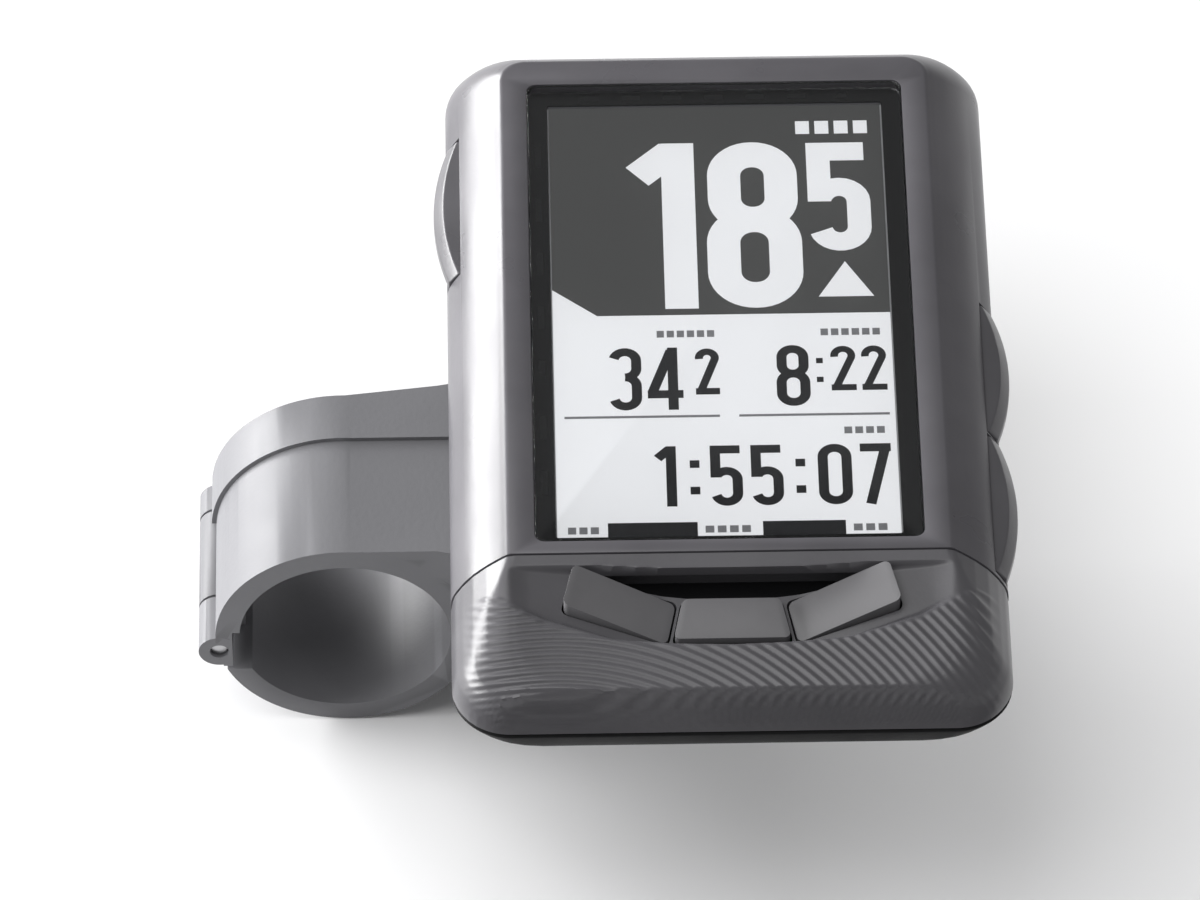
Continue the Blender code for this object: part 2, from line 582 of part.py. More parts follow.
def make_arm():
    unit_x, unit_y, _ = UNIT_ORIGIN
    outline = [(0, CLAMP_BACK), (10.0, CLAMP_BACK)] + arc((unit_x, unit_y), CUP_R, -112, 96, 30)
    outline += [(20.0, CLAMP_FRONT + 3.0), (10.0, CLAMP_FRONT + 1.2), (0, CLAMP_FRONT)]
    arm = prism("mount_arm", outline, ARM_BOTTOM, ARM_TOP, MOUNT, "mount")
    cut(arm, slab("cut_arm_step", (60, 60, 10), (5.0, STEP_Y - 30, BAND_R + 5), MOUNT))
    join(arm, rod("arm_cup", CUP_R, ARM_BOTTOM, unit_z(INSERT_TOP_Z) - 0.4, MOUNT,
                  at=(unit_x, unit_y), sides=48))
    join(arm, rod("arm_band", BAND_R, CLAMP_BACK, STEP_Y + 0.5, MOUNT, axis="Y", sides=48))
    join(arm, rod("arm_ring", RING_R, STEP_Y, CLAMP_FRONT, MOUNT, axis="Y", sides=48))
    join(arm, slab("arm_boss", (EAR_X - 8.0, CLAMP_FRONT - CLAMP_BACK, 12.0),
                   ((EAR_X + 8.0) / 2, CLAMP_MIDDLE, 6.0), MOUNT))
    for key, low, high in (("back", CLAMP_BACK, -6.2), ("front", 6.2, CLAMP_FRONT)):
        join(arm, rod("arm_knuckle_" + key, HINGE_R, low, high, MOUNT, axis="Y",
                      at=(HINGE_X, HINGE_Z), sides=24))
    cut(arm, slab("cut_below_arm", (60, 40, 30), (HEEL_X + 29.8, 0, SPLIT_Z - 15), MOUNT))
    cut(arm, slab("cut_below_heel", (20, 40, 30), (HEEL_X - 9.0, 0, -4.6 - 15), MOUNT))
    cut(arm, slab("cut_knuckle_gap", (6.4, 12.4, 8.0), (HEEL_X - 2.8, 0, HINGE_Z - 1.2), MOUNT))
    cut(arm, rod("cut_bore", BORE_R, CLAMP_BACK - 5, CLAMP_FRONT + 5, MOUNT, axis="Y", sides=64))
    cut(arm, rod("cut_hinge_pin_arm", HINGE_PIN_R + GAP, -30, 30, MOUNT, axis="Y",
                 at=(HINGE_X, HINGE_Z), sides=16))
    cut(arm, rod("cut_insert_seat", INSERT_R + GAP, unit_z(INSERT_BOTTOM_Z) - GAP, 30, MOUNT,
                 at=(unit_x, unit_y), sides=48))
    cut(arm, rod("cut_clamp_screw", CLAMP_SCREW_R + GAP, -5, 30, MOUNT, at=(CLAMP_SCREW_X, 0), sides=16))
    cut(arm, rod("cut_clamp_head", 3.1, ARM_TOP - 3.4, 30, MOUNT, at=(CLAMP_SCREW_X, 0), sides=24))
    for side in (-1, 1):
        at = (unit_x + side * 6.0, unit_y)
        cut(arm, rod(f"cut_arm_screw_{side}", CASE_SCREW_R + GAP, 0, 30, MOUNT, at=at, sides=12))
        cut(arm, rod(f"cut_arm_head_{side}", CASE_HEAD_R + GAP, 0, ARM_BOTTOM + 0.9, MOUNT, at=at, sides=16))
    return arm


def make_jaw():
    """The lower half of the clamp, hinged on the tube's far side, with an ear for the clamp screw."""
    jaw = rod("clamp_jaw", JAW_R, CLAMP_BACK, CLAMP_FRONT, MOUNT, "mount", axis="Y", sides=48)
    join(jaw, slab("jaw_ear", (EAR_X - 8.0, CLAMP_FRONT - CLAMP_BACK, 4.4),
                   ((EAR_X + 8.0) / 2, CLAMP_MIDDLE, 0.2 - 2.2), MOUNT))
    cut(jaw, slab("cut_above_jaw", (60, 40, 30), (18.0, 0, 0.2 + 15), MOUNT))
    cut(jaw, slab("cut_jaw_heel", (20, 40, 30), (HEEL_X + 2.3 - 10, 0, -5.1 + 15), MOUNT))
    join(jaw, rod("jaw_knuckle", HINGE_R, -6.2 + GAP, 6.2 - GAP, MOUNT, axis="Y",
                  at=(HINGE_X, HINGE_Z), sides=24))
    join(jaw, slab("jaw_web", (3.0, 11.8, 4.6), (-12.2, 0, -5.2), MOUNT))
    cut(jaw, rod("cut_jaw_bore", BORE_R, CLAMP_BACK - 5, CLAMP_FRONT + 5, MOUNT, axis="Y", sides=64))
    cut(jaw, rod("cut_hinge_pin_jaw", HINGE_PIN_R + GAP, -30, 30, MOUNT, axis="Y",
                 at=(HINGE_X, HINGE_Z), sides=16))
    cut(jaw, rod("cut_jaw_screw", CLAMP_SCREW_R + 0.6, -20, 30, MOUNT, at=(CLAMP_SCREW_X, 0), sides=16))
    cut(jaw, rod("cut_jaw_nut", 3.2 + GAP, -20, -1.9, MOUNT, at=(CLAMP_SCREW_X, 0), sides=6))
    return jaw


def make_mount_hardware():
    unit_x, unit_y, _ = UNIT_ORIGIN
    rod("hinge_pin", HINGE_PIN_R, CLAMP_BACK + 0.4, CLAMP_FRONT - 0.4, MOUNT, "steel", axis="Y",
        at=(HINGE_X, HINGE_Z), sides=16)
    make_screw("clamp_screw", CLAMP_SCREW_R, 2.7, (ARM_TOP - 3.1, ARM_TOP - 0.2), -4.0,
               (CLAMP_SCREW_X, 0), 1.3, MOUNT)
    nut = rod("clamp_nut", 3.2, -4.4, -2.2, MOUNT, "steel", at=(CLAMP_SCREW_X, 0), sides=6)
    cut(nut, rod("cut_nut", CLAMP_SCREW_R + 0.6, -9, 0, MOUNT, at=(CLAMP_SCREW_X, 0), sides=16))
    for side, key in ((-1, "left"), (1, "right")):
        make_screw("insert_screw_" + key, CASE_SCREW_R, CASE_HEAD_R, (ARM_BOTTOM - 0.5, ARM_BOTTOM + 0.6),
                   unit_z(POCKET_FLOOR_Z) - 0.1, (unit_x + side * 6.0, unit_y), 0.8, MOUNT)


make_front_case()
make_chin_cover()
make_rear_case()
make_screen()
make_board()
make_seal()
make_buttons()
make_flap()
make_unit_screws()
make_mount_tab()
make_lock_insert()
make_arm()
make_jaw()
make_mount_hardware()
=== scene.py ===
"""The looks of the cycling computer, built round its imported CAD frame.

Lengths in the constants and in the shape makers are in millimetres. Pieces of the computer are drawn in its
own frame: x and y from the twist axis, z up from the flat back. Pieces of the bar mount use the row frame.
"""

import math

import bmesh
import bpy
import numpy as np
from mathutils import Matrix, Vector


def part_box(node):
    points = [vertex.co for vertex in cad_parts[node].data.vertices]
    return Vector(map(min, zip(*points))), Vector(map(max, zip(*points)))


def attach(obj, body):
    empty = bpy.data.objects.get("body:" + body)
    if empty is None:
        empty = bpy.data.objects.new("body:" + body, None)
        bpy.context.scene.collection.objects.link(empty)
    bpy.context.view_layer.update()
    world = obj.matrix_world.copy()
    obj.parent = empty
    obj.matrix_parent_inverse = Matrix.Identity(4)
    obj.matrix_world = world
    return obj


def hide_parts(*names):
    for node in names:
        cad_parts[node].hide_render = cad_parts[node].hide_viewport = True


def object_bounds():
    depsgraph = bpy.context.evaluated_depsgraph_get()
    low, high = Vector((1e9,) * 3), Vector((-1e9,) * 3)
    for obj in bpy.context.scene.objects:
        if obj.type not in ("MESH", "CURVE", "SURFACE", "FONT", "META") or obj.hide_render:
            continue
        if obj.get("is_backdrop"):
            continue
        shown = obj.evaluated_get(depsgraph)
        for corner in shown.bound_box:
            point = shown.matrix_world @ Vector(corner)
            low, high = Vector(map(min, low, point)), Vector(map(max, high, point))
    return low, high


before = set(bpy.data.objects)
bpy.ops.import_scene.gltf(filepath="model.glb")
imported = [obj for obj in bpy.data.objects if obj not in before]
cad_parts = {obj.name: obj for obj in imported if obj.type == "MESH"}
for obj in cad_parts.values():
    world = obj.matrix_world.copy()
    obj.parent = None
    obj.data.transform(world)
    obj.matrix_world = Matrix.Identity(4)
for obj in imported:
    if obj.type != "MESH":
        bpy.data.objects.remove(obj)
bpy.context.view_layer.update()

MM = 0.001
UNIT, MOUNT, LOWER = "head_unit", "bar_mount", "clamp_lower"
REAR_LOW, REAR_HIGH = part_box("rear_case")
ORIGINS = {UNIT: Vector(((REAR_LOW.x + REAR_HIGH.x) / 2, (REAR_LOW.y + REAR_HIGH.y) / 2, REAR_LOW.z)),
           MOUNT: Vector((0, 0, 0)), LOWER: Vector((0, 0, 0))}

# Casing
HALF_W, HALF_L, FACE_Z = 28.65, 45.35, 17.2
SEAM_Y, SEAM_GAP, PARTING_Z, PARTING_GAP = -29.0, 0.22, 8.0, 0.25
CHIN_SLOPE = 0.21
# height above the back, half width, distance from the middle to the top end, corner radius
FRONT_STATIONS = [(8.12, 28.5, 45.2, 6.0), (8.4, 28.65, 45.35, 6.0), (9.6, 28.62, 45.3, 6.0),
                  (10.8, 28.3, 45.0, 5.8), (12.3, 27.5, 44.3, 5.5), (13.8, 26.45, 43.35, 5.0),
                  (15.3, 25.0, 42.1, 4.2), (16.4, 23.7, 41.0, 3.4), (16.85, 23.1, 40.45, 3.0),
                  (17.1, 22.75, 40.1, 2.7), (17.2, 22.45, 39.8, 2.5)]
REAR_STATIONS = [(0.0, 23.2, 39.6, 5.0), (0.12, 23.7, 40.1, 5.2), (0.5, 24.2, 40.6, 5.4),
                 (2.0, 25.4, 41.9, 6.0), (4.6, 27.3, 43.8, 6.2), (7.2, 28.5, 45.15, 6.0),
                 (7.7, 28.55, 45.25, 6.0), (7.87, 28.4, 45.1, 6.0)]
CASE_SCREW_X, CASE_SCREW_Y = 20.6, 36.6
PORT_Y = -30.0

# Screen
SCREEN_Y = 4.25
WINDOW_SIZE, WINDOW_CORNER = (39.8, 63.8), 1.0
LCD_SIZE = (35.28, 60.2)
LAYOUT_HEIGHT = 58.8  # the display's layout is drawn to this height and stretched to fit
FIELD_Z, FIELD_THICK = 15.83, 0.03
INK_Z, INK_THICK = 15.87, 0.02

# Chin
BOWL_DEPTH, BOWL_FLAT_X, BOWL_END_X = 2.0, 7.0, 22.5
RECESS_FLOOR_Z = 13.3
RIM_R = 6.0
RIDGE_CENTRE, RIDGE_PITCH, RIDGE_HEIGHT, RIDGE_SINK = (-18.0, -70.0), 0.95, 0.17, 0.08
MIDDLE_KEY = [(-6.0, -37.9), (6.0, -37.9), (5.0, -33.4), (-5.0, -33.4)]
RIGHT_KEY = [(6.7, -38.0), (17.3, -35.1), (16.1, -30.4), (5.7, -33.4)]
STEM_X = 11.6
STEMS = {"button_left": (-STEM_X, -34.5), "button_centre": (0, -35.6), "button_right": (STEM_X, -34.5)}
KEY_LEAN = 0.16  # rise of the slanted keys' faces for each millimetre outwards

# Side keys: side, y of the middle, length
SIDE_BUTTONS = {"button_up": (1, -0.4, 17.5), "button_down": (1, -19.0, 18.4),
                "button_power": (-1, 23.4, 19.0)}
SIDE_BUTTON_Z, SIDE_BUTTON_HEIGHT = 10.7, 3.6
SIDE_BUTTON_OUT, SIDE_BUTTON_BACK = 30.0, 26.0


# ---------------------------------------------------------------- node helpers

class Nodes:
    """A material under construction, with short calls for the nodes used here."""

    def __init__(self, name):
        self.material = bpy.data.materials.new(name)
        self.material.use_nodes = True
        self.tree = self.material.node_tree
        self.shader = self.tree.nodes["Principled BSDF"]

    def add(self, kind, **settings):
        node = self.tree.nodes.new(kind)
        for key, value in settings.items():
            setattr(node, key, value)
        return node

    def link(self, source, target):
        self.tree.links.new(source, target)

    def place(self):
        return self.add("ShaderNodeTexCoord").outputs["Object"]

    def noise(self, scale, detail=3.0, roughness=0.55):
        node = self.add("ShaderNodeTexNoise")
        node.inputs["Scale"].default_value = scale
        node.inputs["Detail"].default_value = detail
        node.inputs["Roughness"].default_value = roughness
        self.link(self.place(), node.inputs["Vector"])
        return node.outputs["Fac"]

    def spread(self, source, low, high, start=0.0, end=1.0):
        """Maps source from start..end to low..high."""
        node = self.add("ShaderNodeMapRange")
        for key, value in (("From Min", start), ("From Max", end), ("To Min", low), ("To Max", high)):
            node.inputs[key].default_value = value
        self.link(source, node.inputs["Value"])
        return node.outputs["Result"]

    def blend(self, factor, first, second):
        """A colour between two colours, or two colour outputs, by factor."""
        node = self.add("ShaderNodeMix", data_type="RGBA")
        self.link(factor, node.inputs["Factor"])
        for key, value in (("A", first), ("B", second)):
            socket = next(s for s in node.inputs if s.name == key and s.type == "RGBA")
            if isinstance(value, tuple):
                socket.default_value = (*value, 1.0)
            else:
                self.link(value, socket)
        return next(s for s in node.outputs if s.type == "RGBA")

    def edge_wear(self, low=0.52, high=0.62):
        """1 on sharp outside edges and 0 elsewhere."""
        return self.spread(self.add("ShaderNodeNewGeometry").outputs["Pointiness"], 0.0, 1.0, low, high)

    def bump(self, height, strength, distance):
        node = self.add("ShaderNodeBump")
        node.inputs["Strength"].default_value = strength
        node.inputs["Distance"].default_value = distance
        self.link(height, node.inputs["Height"])
        self.link(node.outputs["Normal"], self.shader.inputs["Normal"])


def shade(colour, factor):
    return tuple(min(1.0, c * factor) for c in colour)


def plastic(name, colour, roughness, grain=2600.0, depth=0.02, wear=1.25, spread=0.06, gloss=0.5):
    """Moulded plastic: fine grain, patches that are a little more polished, and slightly paler edges."""
    made = Nodes(name)
    patches = made.noise(90.0, 4.0)
    speck = made.noise(grain, 2.0)
    tone = made.blend(made.spread(patches, 0.0, 1.0, 0.35, 0.65), shade(colour, 0.93), shade(colour, 1.07))
    worn = made.blend(made.edge_wear(), tone, shade(colour, wear))
    made.link(worn, made.shader.inputs["Base Color"])
    made.link(made.spread(patches, roughness - spread, roughness + spread, 0.3, 0.7),
              made.shader.inputs["Roughness"])
    made.shader.inputs["Specular IOR Level"].default_value = gloss
    made.bump(speck, 0.5, depth * MM)
    return made.material


def metal(name, colour, roughness):
    """Plain machined metal with fine scratches."""
    made = Nodes(name)
    patches = made.noise(400.0, 5.0, 0.65)
    tone = made.blend(patches, shade(colour, 0.85), shade(colour, 1.1))
    made.link(tone, made.shader.inputs["Base Color"])
    made.link(made.spread(patches, roughness - 0.08, roughness + 0.12, 0.3, 0.7),
              made.shader.inputs["Roughness"])
    made.shader.inputs["Metallic"].default_value = 1.0
    made.bump(made.noise(3000.0), 0.3, 0.01 * MM)
    return made.material


def board_green(name):
    """Solder mask over faint copper tracks."""
    made = Nodes(name)
    track = made.add("ShaderNodeTexVoronoi", feature="DISTANCE_TO_EDGE", distance="MANHATTAN")
    track.inputs["Scale"].default_value = 260.0
    made.link(made.place(), track.inputs["Vector"])
    lines = made.spread(track.outputs["Distance"], 1.0, 0.0, 0.02, 0.06)
    made.link(made.blend(lines, (0.008, 0.05, 0.022), (0.02, 0.11, 0.045)), made.shader.inputs["Base Color"])
    made.link(made.spread(made.noise(700.0), 0.3, 0.45), made.shader.inputs["Roughness"])
    made.bump(lines, 0.4, 0.03 * MM)
    return made.material


def foil(name, colour):
    """Crinkled aluminium laminate."""
    made = Nodes(name)
    crease = made.noise(220.0, 6.0, 0.7)
    made.link(made.blend(crease, shade(colour, 0.8), shade(colour, 1.1)), made.shader.inputs["Base Color"])
    made.link(made.spread(crease, 0.28, 0.5), made.shader.inputs["Roughness"])
    made.shader.inputs["Metallic"].default_value = 0.8
    made.bump(crease, 0.4, 0.08 * MM)
    return made.material


def printed(name, colour, roughness=0.35, spread=0.04, painted_glow=0.0):
    """Flat ink or liquid-crystal ground with a fine pixel tooth. Its glow is painted light: an emission that
    brightens the display in place of the lamp light it would catch.
    """
    made = Nodes(name)
    tooth = made.noise(3500.0, 2.0)
    tone = made.blend(tooth, shade(colour, 1 - spread), shade(colour, 1 + spread))
    made.link(tone, made.shader.inputs["Base Color"])
    made.link(made.spread(made.noise(150.0), roughness - 0.05, roughness + 0.05),
              made.shader.inputs["Roughness"])
    if painted_glow:
        made.shader.inputs["Emission Color"].default_value = (1.0, 1.0, 1.0, 1.0)
        made.shader.inputs["Emission Strength"].default_value = painted_glow
    return made.material


def clear_pane(name):
    """A thin hard-coated window: it passes light straight through and mirrors a little of it."""
    made = Nodes(name)
    made.tree.nodes.remove(made.shader)
    passing = made.add("ShaderNodeBsdfTransparent")
    passing.inputs["Color"].default_value = (0.93, 0.935, 0.94, 1.0)
    mirror = made.add("ShaderNodeBsdfGlossy")
    made.link(made.spread(made.noise(60.0, 5.0, 0.6), 0.04, 0.12), mirror.inputs["Roughness"])
    fresnel = made.add("ShaderNodeFresnel")
    fresnel.inputs["IOR"].default_value = 1.3
    mix = made.add("ShaderNodeMixShader")
    made.link(fresnel.outputs["Fac"], mix.inputs["Fac"])
    made.link(passing.outputs["BSDF"], mix.inputs[1])
    made.link(mirror.outputs["BSDF"], mix.inputs[2])
    output = next(n for n in made.tree.nodes if n.type == "OUTPUT_MATERIAL")
    made.link(mix.outputs["Shader"], output.inputs["Surface"])
    return made.material


MAT = {
    "case": plastic("case_plastic", (0.09, 0.087, 0.096), 0.32, depth=0.012, wear=1.08),
    "chin": plastic("chin_plastic", (0.08, 0.078, 0.085), 0.36, depth=0.015, wear=1.08),
    "rear": plastic("rear_plastic", (0.009, 0.009, 0.0095), 0.6, grain=1500.0, depth=0.05, gloss=0.14),
    "button": plastic("button_plastic", (0.13, 0.128, 0.134), 0.4, depth=0.015),
    "side_button": plastic("side_button_plastic", (0.085, 0.083, 0.09), 0.32, depth=0.015),
    # Black print round the window. The same black also lies on the recess floor as painted shade.
    "mask": printed("black_print_and_painted_shade", (0.005, 0.005, 0.0055), 0.25),
    "led": plastic("light_diffuser", (0.009, 0.009, 0.0095), 0.3, depth=0.005, wear=1.0),
    "window": clear_pane("window_pane_coating"),
    "ground": printed("display_glass", (0.55, 0.55, 0.56)),
    # The dark and light display fields carry painted glow, an emission standing in for lamp light on the
    # display.
    "dark": printed("display_dark_field", (0.062, 0.062, 0.06), painted_glow=0.03),
    "light": printed("display_light_field", (0.78, 0.78, 0.8), painted_glow=0.5),
    "ink": printed("display_dark_ink", (0.02, 0.02, 0.022)),
    "rule": printed("display_grey_ink", (0.3, 0.3, 0.31)),
    "steel": metal("stainless_steel", (0.48, 0.48, 0.49), 0.3),
    "board": board_green("circuit_board"),
    "cell": foil("battery_foil", (0.6, 0.6, 0.62)),
    "ceramic": plastic("antenna_ceramic", (0.55, 0.47, 0.36), 0.55, grain=1200.0, depth=0.02),
    "seal": plastic("silicone", (0.03, 0.03, 0.032), 0.6, grain=1800.0, depth=0.02, wear=1.1),
    "mount": plastic("mount_nylon", (0.14, 0.14, 0.148), 0.5, grain=1700.0, depth=0.03, gloss=0.3),
    "insert": plastic("acetal", (0.025, 0.025, 0.028), 0.38, depth=0.015),
}


# ---------------------------------------------------------------- shape helpers

def add_object(name, bm, frame_name, slot=None, smooth=35):
    """An object from a bmesh in millimetres, placed in the row frame. Without a slot it is a cutter."""
    bmesh.ops.scale(bm, vec=(MM, MM, MM), verts=bm.verts)
    bmesh.ops.translate(bm, vec=ORIGINS[frame_name], verts=bm.verts)
    bmesh.ops.recalc_face_normals(bm, faces=bm.faces)
    mesh = bpy.data.meshes.new(name)
    bm.to_mesh(mesh)
    bm.free()
    mesh.shade_smooth()
    mesh.set_sharp_from_angle(angle=math.radians(smooth))
    obj = bpy.data.objects.new(name, mesh)
    bpy.context.scene.collection.objects.link(obj)
    if slot is None:
        obj.hide_render = True
        obj.display_type = "WIRE"
    else:
        mesh.materials.append(MAT[slot])
    return obj


def slab(name, size, centre, frame_name, slot=None, radius=0.0, edge=0.0, turn=None, steps=6):
    """A block with rounded upright edges, and with its other edges broken by edge."""
    bm = bmesh.new()
    bmesh.ops.create_cube(bm, size=1.0)
    bmesh.ops.scale(bm, vec=size, verts=bm.verts)
    if radius:
        upright = [e for e in bm.edges if abs(e.verts[0].co.z - e.verts[1].co.z) > 1e-6]
        bmesh.ops.bevel(bm, geom=upright, offset=radius, segments=steps, affect="EDGES", profile=0.5)
    if edge:
        rims = [e for e in bm.edges if abs(e.verts[0].co.z - e.verts[1].co.z) < 1e-6
                and e.calc_face_angle(0.0) > 0.8]
        bmesh.ops.bevel(bm, geom=rims, offset=edge, segments=3, affect="EDGES", profile=0.5)
    if turn is not None:
        bmesh.ops.transform(bm, matrix=turn, verts=bm.verts)
    bmesh.ops.translate(bm, vec=centre, verts=bm.verts)
    return add_object(name, bm, frame_name, slot)


def rod(name, radius, start, end, frame_name, slot=None, axis="Z", at=(0.0, 0.0), sides=48):
    bm = bmesh.new()
    bmesh.ops.create_cone(bm, cap_ends=True, segments=sides, radius1=radius, radius2=radius,
                          depth=end - start)
    middle = (start + end) / 2
    if axis == "Z":
        place = Matrix.Translation((at[0], at[1], middle))
    else:
        place = Matrix.Translation((at[0], middle, at[1])) @ Matrix.Rotation(math.pi / 2, 4, "X")
    bmesh.ops.transform(bm, matrix=place, verts=bm.verts)
    return add_object(name, bm, frame_name, slot)


def thicken(bm, height):
    """Gives the flat faces of bm a thickness, upwards."""
    extruded = bmesh.ops.extrude_face_region(bm, geom=list(bm.faces))["geom"]
    moved = [v for v in extruded if isinstance(v, bmesh.types.BMVert)]
    bmesh.ops.translate(bm, vec=(0, 0, height), verts=moved)


def prism_mesh(outline, low, high):
    bm = bmesh.new()
    bm.faces.new([bm.verts.new((x, y, low)) for x, y in outline])
    thicken(bm, high - low)
    return bm


def prism(name, outline, low, high, frame_name, slot=None):
    return add_object(name, prism_mesh(outline, low, high), frame_name, slot)


def arc(centre, radius, start, end, steps):
    """Points on a circle from start to end degrees, both ends included."""
    angles = [math.radians(start + (end - start) * i / steps) for i in range(steps + 1)]
    return [(centre[0] + radius * math.cos(a), centre[1] + radius * math.sin(a)) for a in angles]


def rounded(half_x, low_y, high_y, low_r, high_r, steps=12):
    """A rounded rectangle, anticlockwise from its lower left. A radius of 0 leaves that corner square."""
    points = []
    for x_side, y_end, radius, start in ((-1, low_y, low_r, 180), (1, low_y, low_r, 270),
                                         (1, high_y, high_r, 0), (-1, high_y, high_r, 90)):
        if not radius:
            points.append((x_side * half_x, y_end))
            continue
        inward = 1 if y_end == low_y else -1
        centre = (x_side * (half_x - radius), y_end + inward * radius)
        points += arc(centre, radius, start, start + 90, steps)
    return points


def loft_mesh(rings):
    bm = bmesh.new()
    loops = [[bm.verts.new(p) for p in ring] for ring in rings]
    count = len(loops[0])
    for below, above in zip(loops, loops[1:]):
        for i in range(count):
            j = (i + 1) % count
            bm.faces.new((below[i], below[j], above[j], above[i]))
    bm.faces.new(loops[0][::-1])
    bm.faces.new(loops[-1])
    return bm


def finer(stations, parts=3):
    """Stations with more between them, on a smooth curve through the given ones."""
    rows = np.array(stations, float)
    padded = np.vstack([2 * rows[0] - rows[1], rows, 2 * rows[-1] - rows[-2]])
    made = []
    for i in range(1, len(rows)):
        p0, p1, p2, p3 = padded[i - 1:i + 3]
        for step in range(parts):
            t = step / parts
            made.append(0.5 * (2 * p1 + (p2 - p0) * t + (2 * p0 - 5 * p1 + 4 * p2 - p3) * t ** 2
                               + (3 * p1 - p0 - 3 * p2 + p3) * t ** 3))
    made.append(rows[-1])
    return made


def boolean(target, tool, operation="DIFFERENCE"):
    made = target.modifiers.new(operation.lower(), "BOOLEAN")
    made.operation = operation
    made.solver = "EXACT"
    made.object = tool
    return target


def cut(target, *tools):
    for tool in tools:
        boolean(target, tool)
    return target


def join(target, *tools):
    for tool in tools:
        boolean(target, tool, "UNION")
    return target


def bevel(obj, width, segments=2, angle=32):
    made = obj.modifiers.new("soft_edges", "BEVEL")
    made.width = width * MM
    made.segments = segments
    made.limit_method = "ANGLE"
    made.angle_limit = math.radians(angle)
    made.harden_normals = False
    return obj


def settle(obj, body, *nodes, slot=None, smooth=35):
    """Applies the modifiers, drops the cutters they used, and hangs the piece on its body."""
    tools = {m.object for m in obj.modifiers if m.type == "BOOLEAN"}
    graph = bpy.context.evaluated_depsgraph_get()
    mesh = bpy.data.meshes.new_from_object(obj.evaluated_get(graph))
    obj.modifiers.clear()
    obj.data = mesh
    mesh.shade_smooth()
    mesh.set_sharp_from_angle(angle=math.radians(smooth))
    for tool in tools:
        bpy.data.objects.remove(tool)
    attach(obj, body)
    if nodes:
        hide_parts(*nodes)
    return obj


# ---------------------------------------------------------------- casings

def ring_at(station, low_y):
    z, half_x, high_y, radius = station
    return [(x, y, z) for x, y in rounded(half_x, low_y, high_y, 0, radius)]


def side_key_slots(case):
    for name, (side, y, length) in SIDE_BUTTONS.items():
        cut(case, slab("cut_" + name, (7.0, length + 0.5, SIDE_BUTTON_HEIGHT + 0.5),
                       (side * 28.0, y, SIDE_BUTTON_Z), UNIT))


def make_front():
    """The bezel and flanks above the seam, open for the window and the side keys."""
    low_y = SEAM_Y + SEAM_GAP / 2
    outer = [ring_at(s, low_y) for s in finer(FRONT_STATIONS)]
    shell = add_object("front_shell", loft_mesh(outer), UNIT, "case")
    inner = [ring_at(s, low_y - 1) for s in ((7.0, 27.0, 43.7, 4.6), (10.6, 27.0, 43.7, 4.6),
                                             (13.2, 25.2, 42.0, 4.0), (15.4, 22.9, 40.0, 3.0))]
    cut(shell, add_object("cut_front_cavity", loft_mesh(inner), UNIT))
    width, length = WINDOW_SIZE
    cut(shell, slab("cut_window_seat", (width + 0.16, length + 0.16, 4.0), (0, SCREEN_Y + 0.4, 17.9), UNIT,
                    radius=WINDOW_CORNER + 0.08))
    cut(shell, slab("cut_screen_hole", (36.6, 60.1, 8.0), (0, SCREEN_Y, 14.0), UNIT, radius=0.6))
    side_key_slots(shell)
    bevel(shell, 0.16)
    settle(shell, UNIT, "front_case", slot="case_plastic")


def smooth_min(a, b, k):
    """The lower of a and b, with the crease between them rounded over a height of about k."""
    h = np.clip(0.5 + 0.5 * (b - a) / k, 0.0, 1.0)
    return b + (a - b) * h - k * h * (1 - h)


def chin_plane(y):
    return FACE_Z - CHIN_SLOPE * (SEAM_Y - y)


def step(x, low, high):
    """0 below low, 1 above high and a smooth climb between them."""
    t = np.clip((x - low) / (high - low), 0.0, 1.0)
    return t * t * (3 - 2 * t)


def wall_height(x, y):
    """Height of the flanks and of the end wall at a point of the chin, found by bisection."""
    heights, halves = (np.array(c) for c in list(zip(*FRONT_STATIONS))[:2])
    low, high = np.full(x.shape, PARTING_Z), np.full(x.shape, FACE_Z + 3.0)
    for _ in range(24):
        z = (low + high) / 2
        half = np.interp(z, heights, halves) - np.maximum(z - FACE_Z, 0.0) * 1.4
        end = -HALF_L + 0.1 * np.maximum(z - 8.4, 0.0)
        radius = np.clip(6.0 - 0.12 * (z - 8.0), 4.0, 6.0)
        inset_x = np.maximum(np.abs(x) - (half - radius), 0.0)
        inset_y = np.maximum(end + radius - y, 0.0)
        inside = np.hypot(inset_x, inset_y) <= radius
        low = np.where(inside, z, low)
        high = np.where(inside, high, z)
    return low


def bowl_drop(x, y):
    """Depth of the thumb dish below the chin's surface: deep across the middle and shallow at both ends."""
    share = np.clip((np.abs(x) - BOWL_FLAT_X) / (BOWL_END_X - BOWL_FLAT_X), 0.0, 1.0)
    depth = BOWL_DEPTH * (1 - share) + 0.25 * share * (1 - step(np.abs(x), 20.5, 23.5))
    lower_y = np.interp(np.abs(x), [0, 6, 12, 19, 24], [-39.0, -38.8, -38.3, -36.1, -33.7])
    upper_y = np.interp(np.abs(x), [0, 7, 14.5, 24], [-31.1, -31.0, -30.5, -30.4])
    return depth * step(y, lower_y - 0.5, lower_y + 0.4) * (1 - step(y, upper_y - 0.25, upper_y + 0.15))


def ridges(x, y, fallen):
    """Height of the grip ridges, on wide arcs over the chin outside the smooth zone round the thumb dish.

    fallen is how far the wall drops below the chin's plane, so that the arcs keep their pitch down the wall.
    """
    reach = np.hypot(x - RIDGE_CENTRE[0], y - fallen - RIDGE_CENTRE[1])
    wave = 0.5 + 0.5 * np.sin(2 * math.pi * reach / RIDGE_PITCH)
    edge_y = np.interp(np.abs(x), [0, 6, 11, 19, 22, 25, 28.7],
                       [-39.5, -39.3, -38.8, -36.8, -34.9, -32.9, -31.8])
    mask = 1 - step(y, edge_y - 0.5, edge_y + 0.2)
    sides = 1 - step(np.abs(x), 24.5, 27.8)
    return RIDGE_HEIGHT * wave ** 1.3 * mask * sides


